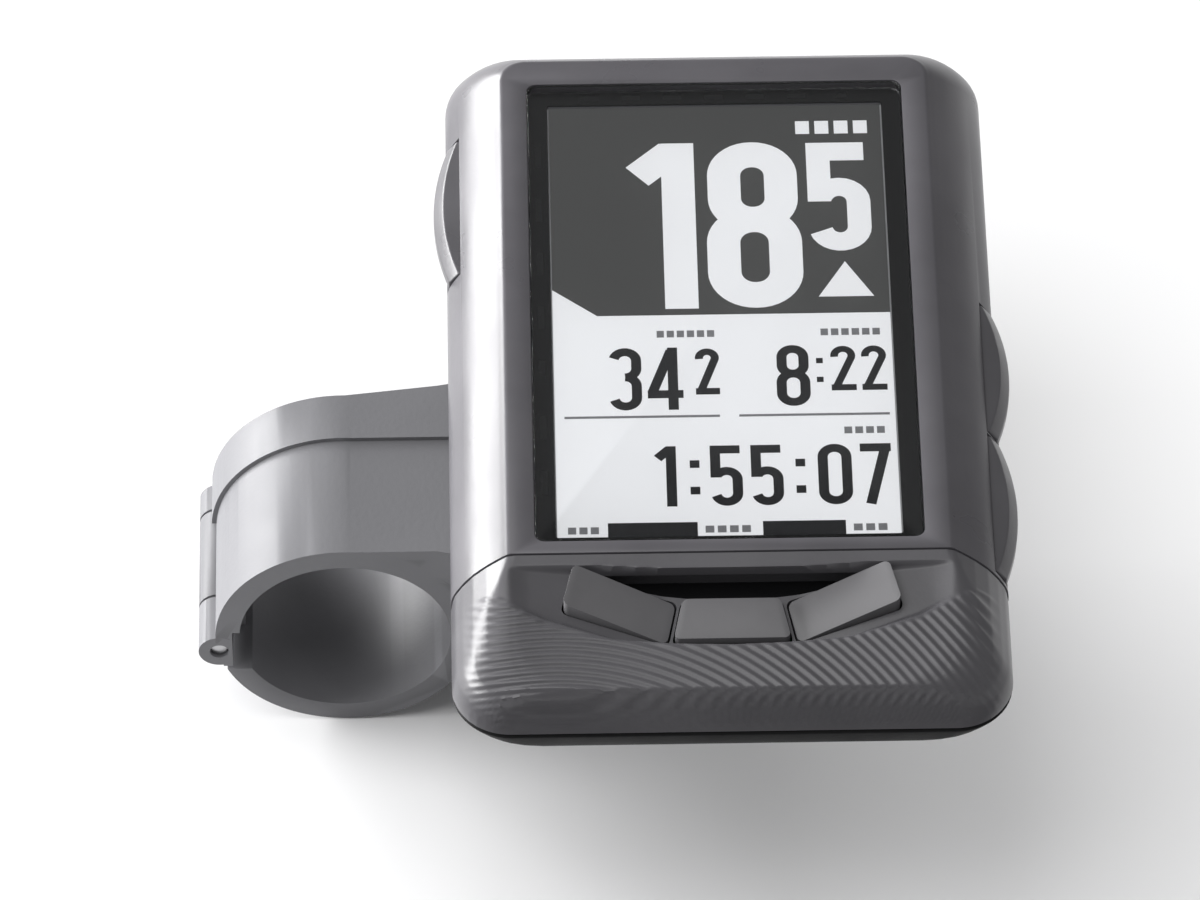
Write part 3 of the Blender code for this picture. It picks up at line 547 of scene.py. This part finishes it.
def chin_rows():
    """Rows across the chin, close together on the end wall."""
    first = SEAM_Y - SEAM_GAP / 2
    wall = [-HALF_L + 0.05 * (1 - math.cos(i * math.pi / 16)) / 2 * 16 for i in range(9)]
    field = np.arange(wall[-1] + 0.16, first, 0.16)
    return np.array(wall + list(field[:-1]) + [first])


def chin_mesh():
    """The chin as a height field over its own footprint, closed below."""
    rows, columns = chin_rows(), np.linspace(-1, 1, 301)
    bulge = np.maximum(-HALF_L + RIM_R - rows, 0.0)
    half = HALF_W - RIM_R + np.sqrt(np.maximum(RIM_R ** 2 - bulge ** 2, 0.0))
    bunched = np.sin(columns * math.pi / 2) * 0.3 + columns * 0.7
    x, y = half[:, None] * bunched[None, :], np.repeat(rows[:, None], len(columns), axis=1)
    wall = wall_height(np.abs(x) - 1e-4, y + 1e-4)
    rounding = 0.35 + 2.0 * step(-y, -SEAM_Y + 1.0, -SEAM_Y + 9.0) + 2.6 * step(-y, -SEAM_Y + 8.0, HALF_L)
    floor = PARTING_Z + PARTING_GAP / 2
    face = chin_plane(y) - bowl_drop(x, y)
    top = np.maximum(smooth_min(face, wall, rounding), floor + 0.3)
    fade = step(top, PARTING_Z + 0.5, PARTING_Z + 1.4)
    relief = (ridges(x, y, face - top) - RIDGE_SINK) * fade
    return height_solid(raised(x, y, top, relief), floor)


def raised(x, y, top, height):
    """The height field's points, pushed out by height along their normals."""
    points = np.stack([x, y, top], axis=2)
    normal = np.cross(np.gradient(points, axis=1), np.gradient(points, axis=0))
    normal /= np.maximum(np.linalg.norm(normal, axis=2, keepdims=True), 1e-9)
    normal *= np.sign(normal[..., 2:])
    return points + normal * height[..., None]


def height_solid(surface, floor):
    """A closed mesh between a grid of points and a flat floor."""
    rows, columns = surface.shape[:2]
    points = surface.reshape(-1, 3)
    under = points * (1, 1, 0) + (0, 0, floor)
    index = np.arange(rows * columns).reshape(rows, columns)
    quads = np.stack([index[:-1, :-1], index[:-1, 1:], index[1:, 1:], index[1:, :-1]], axis=2).reshape(-1, 4)
    rim = np.concatenate([index[0, :], index[1:, -1], index[-1, -2::-1], index[-2:0:-1, 0]])
    after = np.roll(rim, -1)
    shift = rows * columns
    skirt = np.stack([rim + shift, after + shift, after, rim], axis=1)
    bm = bmesh.new()
    verts = [bm.verts.new(p) for p in np.concatenate([points, under])]
    for quad in (*quads, *skirt):
        bm.faces.new([verts[i] for i in quad])
    bm.faces.new([verts[i + shift] for i in rim[::-1]])
    inner = [v for v in bm.verts if not v.link_faces]
    bmesh.ops.delete(bm, geom=inner, context="VERTS")
    return bm


def key_outlines():
    left = [(-x, y) for x, y in RIGHT_KEY[::-1]]
    return {"button_left": left, "button_centre": MIDDLE_KEY, "button_right": RIGHT_KEY}


def grown(outline, by):
    """The outline stretched about its middle, so that its box grows by the given length on each side."""
    xs, ys = [p[0] for p in outline], [p[1] for p in outline]
    middle = ((max(xs) + min(xs)) / 2, (max(ys) + min(ys)) / 2)
    size = (max(xs) - min(xs), max(ys) - min(ys))
    return [tuple(m + (v - m) * (1 + 2 * by / d) for v, m, d in zip(p, middle, size)) for p in outline]


def key_mesh(outline, low, high, corner=0.7):
    bm = prism_mesh(outline, low, high)
    upright = [e for e in bm.edges if abs(e.verts[0].co.z - e.verts[1].co.z) > 1e-6]
    bmesh.ops.bevel(bm, geom=upright, offset=corner, segments=6, affect="EDGES", profile=0.5)
    return bm


def recess_outline(top_y):
    """The dark slot under the upper lip of the thumb dish, a lens from end to end."""
    upper = [(x, top_y) for x in np.linspace(-15.0, 15.0, 25)]
    lower = [(x, -33.1 + 2.15 * (abs(x) / 15.0) ** 1.8) for x in np.linspace(14.8, -14.8, 25)]
    return upper + lower


def make_chin():
    shell = add_object("chin_shell", chin_mesh(), UNIT, "chin")
    inner = [(7.0, 27.0, -43.7, 4.4), (10.6, 27.0, -43.7, 4.4), (12.0, 25.6, -43.0, 4.0),
             (12.7, 24.6, -41.0, 3.6)]
    rings = [[(x, y, z) for x, y in rounded(half, low_y, SEAM_Y + 1, radius, 0)]
             for z, half, low_y, radius in inner]
    cut(shell, add_object("cut_chin_cavity", loft_mesh(rings), UNIT))
    for name, outline in key_outlines().items():
        cut(shell, add_object("cut_" + name, key_mesh(grown(outline, 0.22), 7.0, 19.0), UNIT))
    cut(shell, prism("cut_recess", recess_outline(-30.75), RECESS_FLOOR_Z, 19.0, UNIT),
        prism("cut_under_lip", recess_outline(-29.9), RECESS_FLOOR_Z, 15.6, UNIT))
    settle(shell, UNIT, "chin_cover", slot="chin_plastic", smooth=50)


def make_recess_shade_sheet():
    """A black sheet on the floor of the recess under the lip: painted shade, darkening the slot where shade
    falls beneath the lip.
    """
    shade_sheet = add_object("recess_painted_shade", prism_mesh(recess_outline(-29.95), RECESS_FLOOR_Z + 0.01,
                                                  RECESS_FLOOR_Z + 0.06), UNIT, "mask")
    for name, outline in key_outlines().items():
        cut(shade_sheet, add_object("cut_shade_sheet_" + name, key_mesh(grown(outline, 0.3), 7.0, 19.0), UNIT))
    settle(shade_sheet, UNIT, slot="chin_plastic")


def make_rear():
    """The back half: a softly drawn tub with screw wells and the seat of the port flap."""
    def ring(station):
        z, half_x, half_y, radius = station
        return [(x, y, z) for x, y in rounded(half_x, -half_y, half_y, radius, radius)]

    shell = add_object("rear_shell", loft_mesh([ring(s) for s in finer(REAR_STATIONS)]), UNIT, "rear")
    inner = [(1.6, 23.4, 39.8, 4.6), (4.6, 25.6, 42.1, 4.8), (9.0, 27.0, 43.7, 4.6)]
    cut(shell, add_object("cut_rear_cavity", loft_mesh([ring(s) for s in inner]), UNIT))
    for side_x, side_y in ((-1, 1), (1, 1), (-1, -1), (1, -1)):
        at = (side_x * CASE_SCREW_X, side_y * CASE_SCREW_Y)
        join(shell, rod("post", 2.7, 0.8, 6.9, UNIT, at=at))
        cut(shell, rod("screw_hole", 1.0, -1, 8, UNIT, at=at), rod("screw_well", 1.95, -1, 1.75, UNIT, at=at))
    for side in (-1, 1):
        cut(shell, rod("tab_hole", 1.0, -1, 3, UNIT, at=(side * 5.0, 0)))
    cut(shell, slab("port_hole", (8.6, 3.6, 6.0), (0, PORT_Y, 1.0), UNIT, radius=0.8))
    cut(shell, slab("flap_seat", (15.5, 9.5, 4.0), (0, PORT_Y, -0.8), UNIT, radius=2.0))
    bevel(shell, 0.14)
    settle(shell, UNIT, "rear_case", slot="rear_plastic")


# ---------------------------------------------------------------- keys and flap

def bowl_floor(x, y):
    """Height of the thumb dish's floor, on which the chin keys' faces are set."""
    share = min(1.0, max(0.0, (abs(x) - BOWL_FLAT_X) / (BOWL_END_X - 0.5 - BOWL_FLAT_X)))
    return chin_plane(y) - BOWL_DEPTH * (1 - share) - 0.5 * share


def make_chin_keys():
    """The three keys of the thumb dish. The outer two rise outwards, and together they form the dish."""
    for name, outline in key_outlines().items():
        bm = key_mesh(outline, 0.0, 1.0)
        for v in bm.verts:
            lean = 0.0 if name == "button_centre" else KEY_LEAN * (abs(v.co.x) - STEM_X)
            v.co.z = bowl_floor(v.co.x, v.co.y) + (0.7 + lean if v.co.z > 0.5 else -1.3)
        bmesh.ops.triangulate(bm, faces=[f for f in bm.faces if len(f.verts) > 4])
        cap = add_object("key_" + name.split("_")[1], bm, UNIT, "button")
        join(cap, rod("peg", 1.2, 12.0, 13.2, UNIT, at=STEMS[name]))
        bevel(cap, 0.35, 3)
        settle(cap, name, name, slot="button_rubber")


def side_key_mesh(span):
    """A long key for the right rim: its outer face is a shallow arc, drawn in at the top and the bottom."""
    rise = SIDE_BUTTON_OUT - (HALF_W - 0.2)
    radius = (span * span / 4 + rise * rise) / (2 * rise)
    sweep = math.degrees(math.asin(span / 2 / radius))
    face = arc((SIDE_BUTTON_OUT - radius, 0), radius, -sweep, sweep, 36)
    back = [(SIDE_BUTTON_BACK, span / 2), (SIDE_BUTTON_BACK, -span / 2)]
    half = SIDE_BUTTON_HEIGHT / 2
    levels = ((-half, 0.9), (-0.35 * half, 0.0), (0.2 * half, 0.0), (half, 1.0))
    return loft_mesh([[(x - drawn_in, y, z) for x, y in face] + [(x, y, z) for x, y in back]
                      for z, drawn_in in levels])


def make_side_keys():
    for name, (side, y, span) in SIDE_BUTTONS.items():
        bm = side_key_mesh(span)
        if side < 0:
            bmesh.ops.rotate(bm, matrix=Matrix.Rotation(math.pi, 3, "Z"), verts=bm.verts)
        bmesh.ops.translate(bm, vec=(0, y, SIDE_BUTTON_Z), verts=bm.verts)
        cap = add_object("key_" + name.split("_")[1], bm, UNIT, "side_button")
        peg_x = side * (SIDE_BUTTON_BACK - 0.6)
        join(cap, slab("peg", (2.2, 3.0, 1.6), (peg_x, y, SIDE_BUTTON_Z), UNIT))
        bevel(cap, 0.5, 4)
        settle(cap, name, name, slot="button_rubber")


def make_flap():
    """The rubber flap over the port, with a notch for a thumbnail and a shallow plug behind it."""
    flap = slab("port_flap", (15.0, 9.0, 1.1), (0, PORT_Y, 0.35), UNIT, "seal", radius=1.8)
    cut(flap, slab("thumb_notch", (5.0, 1.2, 1.0), (0, PORT_Y + 4.0, -0.3), UNIT, radius=0.4))
    join(flap, slab("plug_skirt", (8.0, 3.0, 0.3), (0, PORT_Y, 1.0), UNIT, radius=0.9))
    bevel(flap, 0.2)
    settle(flap, "usb_flap", "usb_flap", slot="seal_silicone")


# ---------------------------------------------------------------- screen

def on_screen(x, y):
    """A point of the display, measured right and down from its upper left corner, in the computer's frame."""
    return -LCD_SIZE[0] / 2 + x, SCREEN_Y + LCD_SIZE[1] * (0.5 - y / LAYOUT_HEIGHT)


def path_loop(left, low, right, high):
    """A closed racetrack, as a digit's bowl is drawn."""
    radius = min((right - left) / 2, (high - low) / 2) * 0.98
    points = []
    for x_side, y_side, start in ((1, 1, 0), (0, 1, 90), (0, 0, 180), (1, 0, 270)):
        centre = (right - radius if x_side else left + radius, high - radius if y_side else low + radius)
        points += arc(centre, radius, start, start + 90, 10)
    return points


def digit_paths(char, w, h, t):
    """Centre lines of a condensed figure w by h, for a pen t wide, as pairs of points and whether closed."""
    left, right, low, high = t / 2, w - t / 2, t / 2, h - t / 2
    mid, waist = w / 2, h * 0.53
    bow = (right - left) / 2
    if char == "0":
        return [(path_loop(left, low, right, high), True)]
    if char == "1":
        return [([(right, 0), (right, h)], False),
                ([(t * 0.1, h * 0.8), (right - t * 0.2, h * 0.945)], False)]
    if char == "2":
        top = arc((mid, high - bow), bow, 190, -25, 18)
        return [(top + [(left + t * 0.15, low + t * 0.1)], False), ([(0, low), (w, low)], False)]
    if char == "3":
        upper = arc((mid, high - bow), bow, 165, 0, 12) + arc((mid, waist + bow), bow, 0, -90, 8)
        lower = arc((mid, waist - bow), bow, 90, 0, 8) + arc((mid, low + bow), bow, 0, -165, 12)
        return [(upper, False), (lower, False)]
    if char == "4":
        stem = right - t * 0.5
        return [([(stem, 0), (stem, h)], False), ([(0, h * 0.25), (w, h * 0.25)], False),
                ([(stem - t * 0.15, h * 0.95), (left * 0.9, h * 0.27)], False)]
    if char == "5":
        bowl = arc((mid, waist + t * 0.35 - bow), bow, 150, 0, 10) + arc((mid, low + bow), bow, 0, -165, 12)
        return [([(left * 0.9, high), (w - t * 0.2, high)], False),
                ([(left, h), (left, waist - t * 0.45)], False), (bowl, False)]
    if char == "7":
        return [([(0, high), (w, high)], False), ([(right - t * 0.05, high), (left + w * 0.12, 0)], False)]
    if char == "8":
        return [(path_loop(left, low, right, waist), True),
                (path_loop(left + w * 0.025, waist, right - w * 0.025, high), True)]
    return []


def ribbon(bm, points, closed, width, place, z):
    """A flat band along points, mitred at its corners."""
    line = [Vector(p) for p in points]
    count, edges = len(line), []
    for i, point in enumerate(line):
        before = line[(i - 1) % count] if closed or i else None
        after = line[(i + 1) % count] if closed or i < count - 1 else None
        ways = [(b - a).normalized() for a, b in ((before, point), (point, after))
                if a is not None and b is not None and (b - a).length > 1e-6]
        way = sum(ways, Vector((0, 0))).normalized()
        reach = width / 2 / max(0.4, way.dot(ways[0]))
        side = Vector((-way.y, way.x)) * reach
        edges.append([bm.verts.new((*place(*(point + s * side)), z)) for s in (1, -1)])
    last = count if closed else count - 1
    for i in range(last):
        (a, b), (c, d) = edges[i], edges[(i + 1) % count]
        bm.faces.new((a, b, d, c))


def polygon(bm, corners, z):
    bm.faces.new([bm.verts.new((*on_screen(x, y), z)) for x, y in corners])


def box_on_screen(bm, x0, x1, y0, y1, z):
    polygon(bm, [(x0, y0), (x1, y0), (x1, y1), (x0, y1)], z)


def write(bm, char, x0, x1, y0, y1, pen, z):
    """One figure in the rectangle given, on the display."""
    if char == ":":
        size = x1 - x0
        for share in (0.24, 0.68):
            y = y0 + (y1 - y0) * share
            box_on_screen(bm, x0, x1, y, y + size, z)
        return

    def place(x, y):
        return on_screen(x0 + x, y1 - y)

    for i, (points, closed) in enumerate(digit_paths(char, x1 - x0, y1 - y0, pen)):
        ribbon(bm, points, closed, pen, place, z + 0.002 * i)


def dashes(bm, x0, x1, y0, y1, count, z):
    """A row of small blocks where a word would stand."""
    pitch = (x1 - x0) / count
    for i in range(count):
        box_on_screen(bm, x0 + i * pitch, x0 + (i + 0.72) * pitch, y0, y1, z)


def printed_piece(name, bm, thick, slot):
    """Ink on the display: flat shapes given a little thickness."""
    bmesh.ops.recalc_face_normals(bm, faces=bm.faces)
    for face in bm.faces:
        if face.normal.z < 0:
            face.normal_flip()
    thicken(bm, thick)
    settle(add_object(name, bm, UNIT, slot), UNIT, slot="lcd_glass")


# figure, left, right, top and bottom edge, pen width
FIGURES_ON_DARK = [("1", 8.9, 15.3, 5.2, 28.2, 3.5), ("8", 16.4, 26.4, 5.2, 28.2, 3.5),
                   ("5", 27.2, 33.8, 5.4, 20.5, 2.5)]
FIGURES_ON_LIGHT = [
    ("3", 5.7, 9.1, 33.5, 41.9, 1.05), ("4", 9.7, 13.4, 33.5, 41.9, 1.05),
    ("2", 14.7, 17.2, 33.7, 39.9, 0.85),
    ("8", 23.1, 26.6, 33.4, 41.6, 1.05), (":", 27.3, 28.0, 33.8, 39.6, 0),
    ("2", 28.8, 31.4, 33.6, 39.6, 0.8), ("2", 32.0, 34.6, 33.6, 39.6, 0.8),
    ("1", 10.4, 12.4, 46.8, 54.8, 1.05), (":", 13.8, 14.8, 46.8, 54.8, 0),
    ("5", 15.9, 19.2, 46.8, 54.8, 1.05), ("5", 20.1, 23.4, 46.8, 54.8, 1.05),
    (":", 24.7, 25.7, 46.8, 54.8, 0),
    ("0", 27.0, 30.5, 46.8, 54.8, 1.05), ("7", 31.4, 34.6, 46.8, 54.8, 1.05)]
TRIANGLE = [(30.8, 22.0), (33.7, 26.8), (27.9, 26.8)]
FIELD_EDGE = [(0, 25.4), (4.65, 29.05), (LCD_SIZE[0], 29.05)]  # lower edge of the dark field
SOFT_KEYS = [(5.2, 14.4), (21.1, 29.6)]  # dark stretches of the bottom row, between three light tabs
RULES, RULE_TOP, RULE_LOW = ((1.0, 17.1), (19.1, 34.7)), 42.65, 42.95
# left, right, top and bottom edge, number of blocks
LIGHT_DASHES = (26.2, 34.4, 2.3, 4.1, 4)
GREY_DASHES = [(10.8, 17.1, 31.2, 32.1, 6), (27.9, 34.4, 31.2, 32.1, 6), (29.9, 34.4, 44.5, 45.4, 4),
               (1.1, 4.6, 57.4, 58.3, 3), (30.4, 34.2, 57.4, 58.3, 3), (15.2, 20.2, 57.4, 58.3, 4)]


def make_display():
    """What the display shows: a dark speed field over a light field with two more readings and a clock."""
    width, height = LCD_SIZE[0], LAYOUT_HEIGHT
    for name, corners in (("dark", [(0, 0)] + FIELD_EDGE + [(width, 0)]),
                          ("light", FIELD_EDGE + [(width, height), (0, height)])):
        bm = bmesh.new()
        polygon(bm, corners, FIELD_Z)
        printed_piece("display_" + name + "_field", bm, FIELD_THICK, name)
    bm = bmesh.new()
    for figure in FIGURES_ON_DARK:
        write(bm, *figure, INK_Z)
    polygon(bm, TRIANGLE, INK_Z)
    dashes(bm, *LIGHT_DASHES, INK_Z)
    printed_piece("display_light_figures", bm, INK_THICK, "light")
    bm = bmesh.new()
    for figure in FIGURES_ON_LIGHT:
        write(bm, *figure, INK_Z)
    for x0, x1 in SOFT_KEYS:
        box_on_screen(bm, x0, x1, 56.9, height, INK_Z)
    printed_piece("display_dark_figures", bm, INK_THICK, "ink")
    bm = bmesh.new()
    for block in GREY_DASHES:
        dashes(bm, *block, INK_Z)
    for x0, x1 in RULES:
        box_on_screen(bm, x0, x1, RULE_TOP, RULE_LOW, INK_Z)
    printed_piece("display_grey_marks", bm, INK_THICK, "rule")


def make_window():
    """The clear window, and the black edge printed round the display with its row of light windows."""
    width, length = WINDOW_SIZE
    middle = (0, SCREEN_Y + 0.4)
    mask = slab("window_edge", (width - 0.2, length - 0.2, 0.12), (*middle, 16.08), UNIT, "mask",
                radius=WINDOW_CORNER)
    cut(mask, slab("cut_mask", (LCD_SIZE[0] + 0.3, LCD_SIZE[1] + 0.3, 2), (0, SCREEN_Y, 16.08), UNIT,
                   radius=0.3))
    settle(mask, UNIT, slot="window_glass")
    pane = slab("window_pane", (width, length, 0.98), (*middle, FACE_Z - 0.49), UNIT, "window",
                radius=WINDOW_CORNER, edge=0.12)
    settle(pane, UNIT, "window_lens", slot="window_glass")
    for name, centre, across, pitch in (("light_windows_left", (-18.85, SCREEN_Y), False, 7.6),
                                        ("light_windows_top", (0, SCREEN_Y + 31.2), True, 4.4)):
        bm = bmesh.new()
        for i in range(-3, 4):
            x, y = centre[0] + (i * pitch if across else 0), centre[1] + (0 if across else i * pitch)
            half_x, half_y = (1.0, 0.35) if across else (0.35, 1.6)
            bm.faces.new([bm.verts.new((x + dx * half_x, y + dy * half_y, 16.145))
                          for dx, dy in ((-1, -1), (1, -1), (1, 1), (-1, 1))])
        thicken(bm, 0.02)
        settle(add_object(name, bm, UNIT, "led"), UNIT, slot="window_glass")


# ---------------------------------------------------------------- bar mount

BORE_R, RING_R, BAND_R, JAW_R = 11.2, 14.2, 13.7, 13.6
CLAMP_BACK, CLAMP_FRONT, STEP_Y = -12.0, 9.5, 3.5
CLAMP_MIDDLE = (CLAMP_BACK + CLAMP_FRONT) / 2
ARM_TOP, ARM_BOTTOM, CUP_R, CUP_TOP = 14.2, 9.4, 18.2, 16.0
HINGE_X, HINGE_Z, HINGE_R, HINGE_PIN_R, HEEL_X = -13.4, -2.2, 2.2, 0.9, -11.8
SCREW_X, EAR_X, SPLIT_Z = 17.4, 21.6, 0.8
CUP_AT = (ORIGINS[UNIT].x / MM, ORIGINS[UNIT].y / MM)


def along_y(name, radius, start, end, at=(0.0, 0.0), sides=128):
    return rod(name, radius, start, end, MOUNT, axis="Y", at=at, sides=sides)


def make_arm():
    """The upper half of the clamp and the arm that carries the quarter-turn socket."""
    outline = [(0, CLAMP_BACK), (10.0, CLAMP_BACK)] + arc(CUP_AT, CUP_R, -112, 96, 72)
    outline += [(20.0, CLAMP_FRONT + 3.0), (10.0, CLAMP_FRONT + 1.2), (0, CLAMP_FRONT)]
    arm = prism("arm_shell", outline, ARM_BOTTOM, ARM_TOP, MOUNT, "mount")
    cut(arm, slab("step", (60, 60, 10), (5.0, STEP_Y - 30, BAND_R + 5), MOUNT))
    join(arm, rod("cup", CUP_R - 0.03, ARM_BOTTOM + 0.2, CUP_TOP, MOUNT, at=CUP_AT, sides=180),
         along_y("band", BAND_R + 0.04, CLAMP_BACK, STEP_Y + 0.5),
         along_y("ring", RING_R + 0.04, STEP_Y, CLAMP_FRONT),
         slab("boss", (EAR_X - 8.0, CLAMP_FRONT - CLAMP_BACK, 12.0),
              ((EAR_X + 8.0) / 2, CLAMP_MIDDLE, 6.0), MOUNT))
    for low, high in ((CLAMP_BACK, -6.2), (6.2, CLAMP_FRONT)):
        join(arm, along_y("knuckle", HINGE_R, low, high, (HINGE_X, HINGE_Z), 48))
    cut(arm, slab("below", (60, 40, 30), (HEEL_X + 29.8, 0, SPLIT_Z - 15), MOUNT),
        slab("heel", (20, 40, 30), (HEEL_X - 9.0, 0, -4.6 - 15), MOUNT),
        slab("knuckle_gap", (6.4, 12.4, 8.0), (HEEL_X - 2.8, 0, HINGE_Z - 1.2), MOUNT),
        along_y("bore", BORE_R, CLAMP_BACK - 5, CLAMP_FRONT + 5),
        along_y("pin_hole", HINGE_PIN_R + 0.1, -30, 30, (HINGE_X, HINGE_Z), 32),
        rod("seat", 16.2, 11.1, 30, MOUNT, at=CUP_AT, sides=128),
        rod("screw_hole", 1.7, -5, 30, MOUNT, at=(SCREW_X, 0)),
        rod("screw_well", 2.95, ARM_TOP - 3.4, 30, MOUNT, at=(SCREW_X, 0)))
    for side in (-1, 1):
        at = (CUP_AT[0] + side * 6.0, CUP_AT[1])
        cut(arm, rod("hole", 1.0, 0, 30, MOUNT, at=at), rod("well", 1.9, 0, ARM_BOTTOM + 0.9, MOUNT, at=at))
    bevel(arm, 0.3, 2, 40)
    settle(arm, MOUNT, "mount_arm", slot="mount_plastic")


def make_jaw():
    """The lower half of the clamp, with its hinge knuckle and the ear that the screw pulls up."""
    jaw = along_y("jaw_shell", JAW_R, CLAMP_BACK, CLAMP_FRONT)
    jaw.data.materials.append(MAT["mount"])
    jaw.hide_render, jaw.display_type = False, "TEXTURED"
    join(jaw, slab("ear", (EAR_X - 8.0, CLAMP_FRONT - CLAMP_BACK, 4.4),
                   ((EAR_X + 8.0) / 2, CLAMP_MIDDLE, -2.0), MOUNT))
    cut(jaw, slab("above", (60, 40, 30), (18.0, 0, 0.2 + 15), MOUNT),
        slab("heel", (20, 40, 30), (HEEL_X + 2.3 - 10, 0, -5.1 + 15), MOUNT))
    join(jaw, along_y("knuckle", HINGE_R, -5.9, 5.9, (HINGE_X, HINGE_Z), 48),
         slab("web", (3.0, 11.8, 4.6), (-12.2, 0, -5.2), MOUNT))
    cut(jaw, along_y("bore", BORE_R, CLAMP_BACK - 5, CLAMP_FRONT + 5),
        along_y("pin_hole", HINGE_PIN_R + 0.1, -30, 30, (HINGE_X, HINGE_Z), 32),
        rod("screw_hole", 2.1, -20, 30, MOUNT, at=(SCREW_X, 0)),
        rod("nut_well", 3.4, -20, -1.9, MOUNT, at=(SCREW_X, 0), sides=6))
    bevel(jaw, 0.25, 2, 40)
    settle(jaw, LOWER, "clamp_jaw", slot="mount_plastic")


# ---------------------------------------------------------------- pieces kept from the frame

KEPT = {
    "steel": ["shield_can", "altimeter_sensor", "usb_socket", "lcd_bracket", "clamp_screw", "clamp_nut",
              "hinge_pin", "insert_screw_left", "insert_screw_right", "tab_screw_left", "tab_screw_right",
              "case_screw_left_top", "case_screw_right_top", "case_screw_left_bottom",
              "case_screw_right_bottom"],
    "board": ["main_pcb", "led_board_left", "led_board_top"],
    "cell": ["battery"],
    "ceramic": ["gnss_antenna"],
    "seal": ["perimeter_seal"],
    "ground": ["lcd_panel"],
    "insert": ["lock_insert", "mount_tab", "buzzer", "switch_centre", "switch_left", "switch_right",
               "switch_up", "switch_down", "switch_power"],
}


def dress_kept_nodes():
    """Gives the frame's own nodes their materials and breaks their edges."""
    for slot_name, names in KEPT.items():
        for name in names:
            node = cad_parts[name]
            node.data.materials.clear()
            node.data.materials.append(MAT[slot_name])
            node.data.shade_smooth()
            node.data.set_sharp_from_angle(angle=math.radians(35))
            weld = node.modifiers.new("weld", "WELD")
            weld.merge_threshold = 1e-6
            bevel(node, 0.12, 2, 40)


# ---------------------------------------------------------------- stage

WORLD_STRENGTH = 0.3
LIT_POINT = (0.03, 0.0, 0.02)
# name: place in metres, width and height in metres, watts
LIGHTS = {"soft_left": ((-1.3, 0.8, 0.33), (1.8, 0.6), 62.0),
          "soft_side": ((-1.5, 0.05, 0.3), (0.9, 0.5), 13.0),
          "soft_top": ((-0.5, -0.1, 1.4), (1.2, 1.2), 12.0)}
CAMERA_AZIMUTH, CAMERA_ELEVATION, CAMERA_DISTANCE, CAMERA_LENS = -1.1, 49.0, 1.0, 285.0


def stage_material():
    made = Nodes("studio_floor")
    tone = made.blend(made.noise(9.0, 4.0), (0.86, 0.86, 0.865), (0.9, 0.9, 0.905))
    made.link(tone, made.shader.inputs["Base Color"])
    made.shader.inputs["Roughness"].default_value = 0.9
    return made.material


def make_dark_card(floor_z):
    """A black card on the floor in front of the chin, which shows only in reflections."""
    bm = prism_mesh([(-110, -180), (190, -180), (190, -50), (-110, -50)], 0.0, 0.4)
    card = add_object("dark_card", bm, MOUNT, "mask")
    card.location.z = floor_z
    card.visible_camera = card.visible_diffuse = card.visible_shadow = False
    card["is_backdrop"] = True


def make_stage():
    bm = bmesh.new()
    bmesh.ops.create_grid(bm, x_segments=2, y_segments=2, size=6000.0)
    floor = add_object("floor", bm, MOUNT, None)
    floor.hide_render, floor.display_type = False, "TEXTURED"
    floor.data.materials.append(stage_material())
    floor.location.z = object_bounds()[0].z - 0.0002
    floor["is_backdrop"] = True
    make_dark_card(floor.location.z)
    world = bpy.data.worlds.new("studio")
    world.use_nodes = True
    world.node_tree.nodes["Background"].inputs["Color"].default_value = (1.0, 1.0, 1.0, 1.0)
    world.node_tree.nodes["Background"].inputs["Strength"].default_value = WORLD_STRENGTH
    bpy.context.scene.world = world


def area_light(name, place, target, size, power):
    data = bpy.data.lights.new(name, "AREA")
    data.shape, data.size, data.size_y, data.energy = "RECTANGLE", size[0], size[1], power
    light = bpy.data.objects.new(name, data)
    light.location = place
    light.rotation_euler = (Vector(target) - Vector(place)).to_track_quat("-Z", "Y").to_euler()
    bpy.context.scene.collection.objects.link(light)


def light_stage():
    for name, (place, size, power) in LIGHTS.items():
        area_light(name, place, LIT_POINT, size, power)


def make_camera():
    """Square on to the rider's view: 49 degrees above the screen's plane, a touch to the left."""
    low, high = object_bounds()
    target = Vector(((low.x + high.x) / 2, (low.y + high.y) / 2 - 0.001, 0.018))
    azimuth, elevation = math.radians(CAMERA_AZIMUTH), math.radians(CAMERA_ELEVATION)
    back = Vector((math.sin(azimuth) * math.cos(elevation), -math.cos(azimuth) * math.cos(elevation),
                   math.sin(elevation)))
    camera = bpy.data.objects.new("camera", bpy.data.cameras.new("camera"))
    camera.location = target + back * CAMERA_DISTANCE
    camera.rotation_euler = (-back).to_track_quat("-Z", "Y").to_euler()
    camera.data.lens = CAMERA_LENS
    camera.data.clip_start, camera.data.clip_end = 0.05, 50.0
    bpy.context.scene.collection.objects.link(camera)
    bpy.context.scene.camera = camera
    bpy.context.scene.view_settings.view_transform = "Standard"


make_front()
make_chin()
make_recess_shade_sheet()
make_rear()
make_chin_keys()
make_side_keys()
make_flap()
make_display()
make_window()
make_arm()
make_jaw()
dress_kept_nodes()
make_stage()
light_stage()
make_camera()
